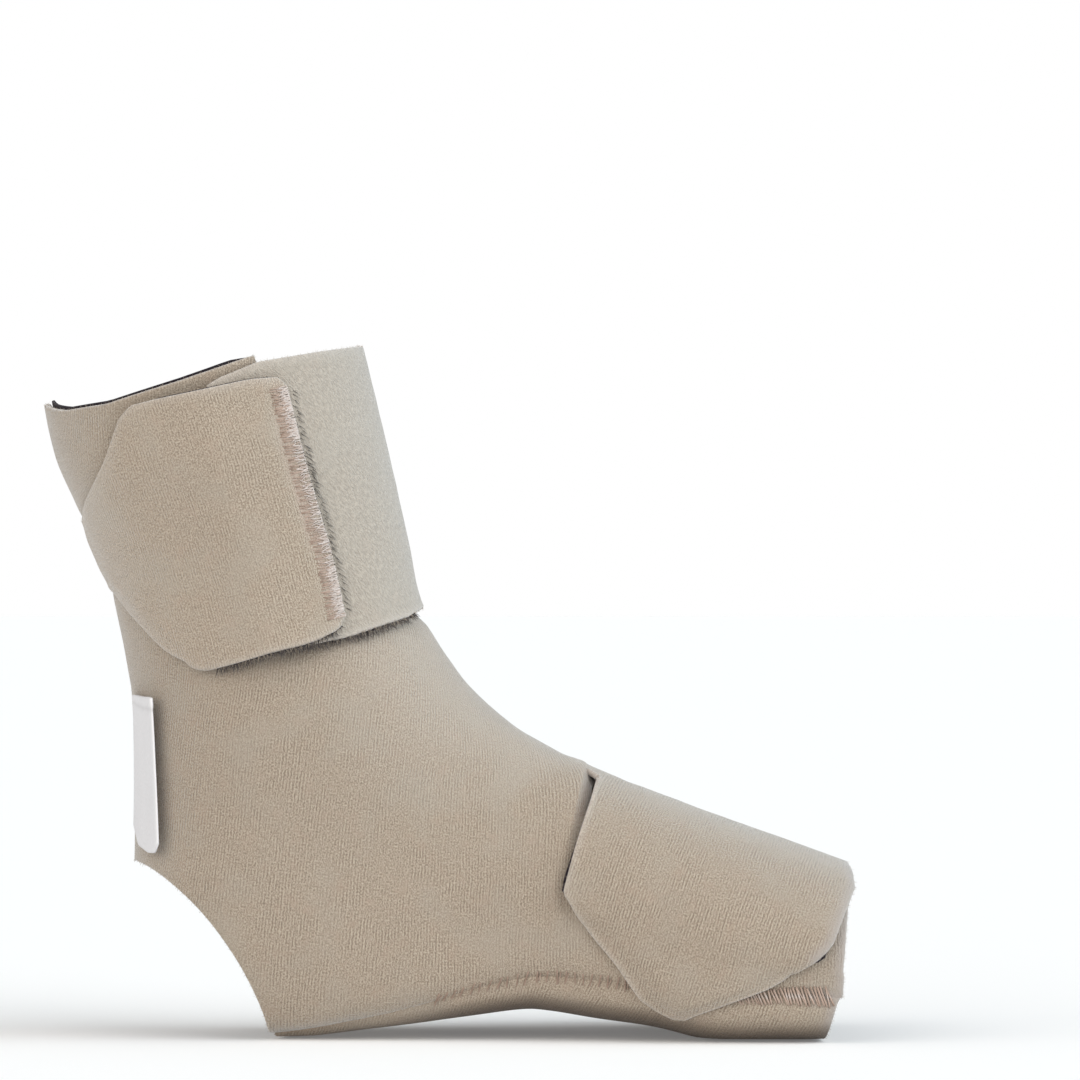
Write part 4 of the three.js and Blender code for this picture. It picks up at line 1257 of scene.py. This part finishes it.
def sole_stitches(name, side):
    """Stitches across one sole seam: single sunken ones, then close slanted ones at the toe end."""
    paths, ups, dark, thick = [], [], [], []
    line = seam_lines[0 if side > 0 else 1]
    length = run_length(line)

    def stitch(start, lean, reach, height, shades, radius):
        path, up = [], []
        for share in STITCH_SHARES:
            section = np.interp(start + lean * (share - 0.5), length, SEAM_SECTIONS)
            across = (1 - 2 * share) * reach
            angle = side * float(angle_of(edge_turn(section, across), section))
            sunk = -STITCH_SUNK if share in (0, 1) else height
            path.append(off_face(section, angle, sunk - float(seam_ditch(abs(across)))))
            up.append(face_normal(np.array(section), np.array(angle)))
        paths.append(path)
        ups.append(up)
        dark.append([shades[0] + (shades[1] - shades[0]) * abs(2 * share - 1) for share in STITCH_SHARES])
        thick.append(radius)

    done = SOLE_STITCH_START
    while done < length[-1] - SOLE_STITCH_END:
        if length[-1] - done < TOE_BAND:
            kind = SATIN_STITCH
            grow = kind["grow"] * (1 - (length[-1] - done) / TOE_BAND)
            stitch(done, random.uniform(*kind["lean"]), random.uniform(*kind["reach"]) + grow,
                   random.uniform(*kind["height"]), (random.uniform(*kind["middle"]), random.uniform(*kind["ends"])),
                   random.uniform(*kind["radius"]))
            done += random.uniform(*kind["step"])
        else:
            kind = SINGLE_STITCH
            stitch(done, random.uniform(*kind["lean"]), random.uniform(*kind["reach"]), kind["height"],
                   kind["shades"], random.uniform(*kind["radius"]))
            kind = SECOND_STITCH
            if random.random() < kind["chance"]:
                stitch(done + random.uniform(*kind["shift"]), random.uniform(*kind["lean"]),
                       random.uniform(*kind["reach"]), kind["height"], kind["shades"],
                       random.uniform(*kind["radius"]))
            done += random.uniform(*SINGLE_STITCH["step"])
    return thread_piece(name, paths, ups, dark, np.array(thick))


edge_stitches("tab_stitches", tab_laid, tab_normals, band=5.2, close=15)
edge_stitches("ankle_strap_stitches", ankle_laid, ankle_normals, band=4.5, close=6)
edge_stitches("forefoot_strap_stitches", fore_laid, fore_normals, band=4.5, close=6)
sole_stitches("sole_stitches_medial", 1)
sole_stitches("sole_stitches_lateral", -1)


# Loose fibres
FIBRE_TURNS = (0, 2.094, 4.189)  # angles of a fibre's three sides
FIBRE_BEND, FIBRE_TIP = 0.55, 0.5  # shares of its length up to and after its bend
FIBRE_SLIM = 0.8  # of its radius at the bend


def fibre_piece(name, roots, leaves, bends, lengths, radius, material):
    """Fine three-sided fibres, each bent once, joined in one mesh."""
    roots, leaves, bends, lengths = (np.asarray(x, float) for x in (roots, leaves, bends, lengths))
    reach = lengths[:, None]
    middle = roots + leaves * reach * FIBRE_BEND
    tip = middle + unit(leaves + bends) * reach * FIBRE_TIP
    side = unit(np.cross(leaves, np.roll(leaves, 1, axis=1) + 0.31))  # any direction across the fibre
    up = np.cross(side, leaves)
    rings = [base + (side * math.cos(turn) + up * math.sin(turn)) * radius * size
             for base, size in ((roots, 1.0), (middle, FIBRE_SLIM)) for turn in FIBRE_TURNS]
    points = np.stack(rings + [tip], axis=1)
    count = len(roots)
    first = (np.arange(count) * 7)[:, None]
    quads = [first + np.array([[k, (k + 1) % 3, 3 + (k + 1) % 3, 3 + k]]) for k in range(3)]
    tips = [first + np.array([[3 + k, 3 + (k + 1) % 3, 6]]) for k in range(3)] + [first + np.array([[2, 1, 0]])]
    mesh = bpy.data.meshes.new(name)
    mesh.from_pydata(to_row(points.reshape(-1, 3)).tolist(), [],
                     np.concatenate(quads).tolist() + np.concatenate(tips).tolist())
    mark_points(mesh, "along", np.tile([0, 0, 0, 0.5, 0.5, 0.5, 1], count))
    return finished(name, mesh, material)


HANGING = 24  # the straps' lower edges stand off the boot ahead of this
LOOKS_DOWN, LOOKS_MEDIAL = -0.35, -0.35  # limits of the edges that count as lower medial ones
FUZZ_TURN, FUZZ_LIFT = 0.45, 0.1  # spread of the fibres' directions, and how far they lean outwards
FUZZ_OUT, FUZZ_ASIDE = 0.25, 0.75  # where they start off the edge and along it
FUZZ_LENGTHS, FUZZ_UNEVEN = (0.35, 1.0), 1.6  # shares of the longest, and the power that makes long ones rare
FUZZ_BEND = 0.5


def edge_fuzz(name, pieces, per_point, longest, depth, radius, material, low_only=False):
    """Short fibres standing off the cut edges of some pieces, or off their lower medial edges only."""
    chance = np.random.default_rng(len(name))
    roots, leaves = [], []
    for piece in pieces:
        points, out, normals = cloth_edges[piece]
        if low_only:
            low = (out[:, 2] < LOOKS_DOWN) & (normals[:, 1] < LOOKS_MEDIAL) & (points[:, 0] > HANGING)
            points, out, normals = points[low], out[low], normals[low]
        across = np.cross(out, normals)
        for _ in range(per_point):
            turn = chance.normal(size=(len(points), 2)) * FUZZ_TURN
            sunk = chance.uniform(depth[0], depth[1], (len(points), 1))
            aside = chance.uniform(-FUZZ_ASIDE, FUZZ_ASIDE, (len(points), 1))
            roots.append(points + out * FUZZ_OUT - normals * sunk + across * aside)
            leaves.append(unit(out + normals * (turn[:, :1] + FUZZ_LIFT) + across * turn[:, 1:]))
    roots, leaves = np.concatenate(roots), np.concatenate(leaves)
    lengths = chance.uniform(*FUZZ_LENGTHS, len(roots)) ** FUZZ_UNEVEN * longest
    bends = chance.normal(size=roots.shape) * FUZZ_BEND
    return fibre_piece(name, roots, leaves, bends, lengths, radius, material)


ANKLE_CLOTHS = ["ankle_strap_cloth", "ankle_tab_cloth"]
edge_fuzz("pale_edge_fuzz", ["upper_cloth", "sole_cloth", *ANKLE_CLOTHS, "forefoot_strap_cloth"],
          per_point=4, longest=1.2, depth=(0.1, 1.5), radius=0.05, material=pale_fibre)
edge_fuzz("pale_hanging_fuzz", ANKLE_CLOTHS,
          per_point=4, longest=2.6, depth=(0.3, 1.4), radius=0.09, material=pale_fibre, low_only=True)
# dark fibres off the backing, partly standing in for the fuzzy shadow under the lower medial edges
edge_fuzz("dark_edge_fuzz", ANKLE_CLOTHS,
          per_point=12, longest=3.6, depth=(0.6, 1.9), radius=0.12, material=dark_fibre_and_shade, low_only=True)


def uneven_rows(chance, lines, count, spread):
    """Places along an edge, evenly spaced but for a little chance, counted in its points."""
    rows = np.linspace(1, len(lines) - 2, count) + chance.normal(size=count) * spread
    return np.clip(rows, 0, len(lines) - 1.001)


NAP_STRANDS, NAP_SPREAD, NAP_RADIUS = 76, 0.25, 0.09
NAP_AHEAD = (0.03, 0.06)  # angle from the tab's edge to a strand's root
NAP_HEIGHT = SEAT + STRAP + 0.22
NAP_LENGTHS = (1.9, 3.2)
NAP_DOWN, NAP_FORWARD, NAP_SLANT, NAP_LIFT, NAP_BEND = 0.72, 0.78, 0.1, 0.05, 0.1  # parts of its direction
SECTION_STEP, ANGLE_STEP = 0.05, 0.03


def ruffled_nap_shade():
    """Strands of the strap's pile pushed over along the tab's front edge, made dark as painted shade where they
    part.
    """
    chance = np.random.default_rng(5)
    lines = strap_lines(ANKLE_TAB, FINE)[:, 0]
    line = between(lines, uneven_rows(chance, lines, NAP_STRANDS, NAP_SPREAD))
    section, angle = line[:, 0], line[:, 1] - chance.uniform(*NAP_AHEAD, NAP_STRANDS)
    root = off_face(section, angle, NAP_HEIGHT)
    normal = face_normal(section, angle)
    down = unit(face_point(section + SECTION_STEP, angle) - face_point(section - SECTION_STEP, angle))
    ahead = unit(face_point(section, angle - ANGLE_STEP) - face_point(section, angle + ANGLE_STEP))
    slant = chance.normal(size=(NAP_STRANDS, 1)) * NAP_SLANT
    leaf = unit(down * (NAP_DOWN + slant) + ahead * (NAP_FORWARD - slant) + normal * NAP_LIFT)
    lengths = chance.uniform(*NAP_LENGTHS, NAP_STRANDS)
    return fibre_piece("ruffled_nap_shade", root, leaf, -normal * NAP_BEND, lengths, NAP_RADIUS, nap_shade_fibre)


PITS, PIT_SPREAD, PIT_RADIUS = 72, 0.2, 0.2
PIT_AHEAD, PIT_UP, PIT_TURN, PIT_LENGTHS = (-0.1, 0.5), 0.12, 0.4, (0.2, 0.45)


def needle_pit_shade():
    """Dark blobs as painted shade in the pits where the tab's stitches go round its edge."""
    chance = np.random.default_rng(8)
    edge, up = tab_laid[:, 0], tab_normals[:, 0]
    rows = uneven_rows(chance, edge, PITS, PIT_SPREAD)
    normal = unit(between(up, rows))
    ahead = unit(between(edge - tab_laid[:, 2], rows))
    root = between(edge, rows) + ahead * chance.uniform(*PIT_AHEAD, (PITS, 1)) + normal * PIT_UP
    leaf = unit(normal + chance.normal(size=(PITS, 3)) * PIT_TURN)
    lengths = chance.uniform(*PIT_LENGTHS, PITS)
    return fibre_piece("needle_pit_shade", root, leaf, normal, lengths, PIT_RADIUS, dark_fibre_and_shade)


ruffled_nap_shade()
needle_pit_shade()


# Floor, light and camera, in metres
FLOOR_SIZE, FLOOR_Z = 24, -0.0006
BACKDROP, SKYLIGHT = 1.0, 0.5  # strength of the white sky as it is seen, and as it lights the part
SENSOR = 36  # millimetres
CAMERA_PLACE = (0.02603, -2.20248, 0.1402)
VIEW_DISTANCE, VIEW_WIDTH = 2200, 307.8  # millimetres to the part's middle plane, and the frame's width there

bpy.ops.object.select_all(action="DESELECT")
bpy.ops.mesh.primitive_plane_add(size=FLOOR_SIZE, location=(0, 0, FLOOR_Z))
floor = bpy.context.active_object
floor.name = "floor"
bpy.ops.object.transform_apply(location=True)
floor_finish = Finish("floor_white")
floor.data.materials.append(floor_finish.set(
    Base_Color=(0.8, 0.8, 0.8, 1), Roughness=0.9, Specular_IOR_Level=0.1,
    Emission_Color=(1, 1, 1, 1), Emission_Strength=0.14))

scene = bpy.context.scene
scene.view_settings.view_transform = "Standard"
world = bpy.data.worlds.new("studio")
world.use_nodes = True
sky = world.node_tree
backdrop = sky.nodes["Background"]
backdrop.inputs["Color"].default_value = (1, 1, 1, 1)
backdrop.inputs["Strength"].default_value = BACKDROP
around = sky.nodes.new("ShaderNodeBackground")
around.inputs["Color"].default_value = (1, 1, 1, 1)
around.inputs["Strength"].default_value = SKYLIGHT
seen = sky.nodes.new("ShaderNodeLightPath")
either = sky.nodes.new("ShaderNodeMixShader")
sky.links.new(seen.outputs["Is Camera Ray"], either.inputs[0])
sky.links.new(around.outputs[0], either.inputs[1])
sky.links.new(backdrop.outputs[0], either.inputs[2])
sky.links.new(either.outputs[0], sky.nodes["World Output"].inputs["Surface"])
scene.world = world


def soft_sun(name, toward, strength, spread, colour=(1, 1, 1)):
    """A wide, far light that stands towards a direction."""
    data = bpy.data.lights.new(name, "SUN")
    data.energy = strength
    data.color = colour
    data.angle = math.radians(spread)
    lamp = bpy.data.objects.new(name, data)
    lamp.rotation_euler = Vector(toward).to_track_quat("Z", "Y").to_euler()
    bpy.context.collection.objects.link(lamp)


soft_sun("key", (0.75, -0.5, 0.62), strength=1.9, spread=70)
soft_sun("fill", (-0.75, -0.7, 0.4), strength=1.44, spread=65, colour=(1.0, 0.94, 0.86))
soft_sun("front_glow", (0.95, 0.0, 0.28), strength=1.15, spread=60, colour=(0.5, 0.82, 1.0))

lens = bpy.data.cameras.new("camera")
lens.sensor_width = SENSOR
lens.lens = SENSOR * VIEW_DISTANCE / VIEW_WIDTH
lens.clip_end = 50
camera = bpy.data.objects.new("camera", lens)
camera.location = CAMERA_PLACE
camera.rotation_euler = (math.pi / 2, 0, 0)
bpy.context.collection.objects.link(camera)
scene.camera = camera
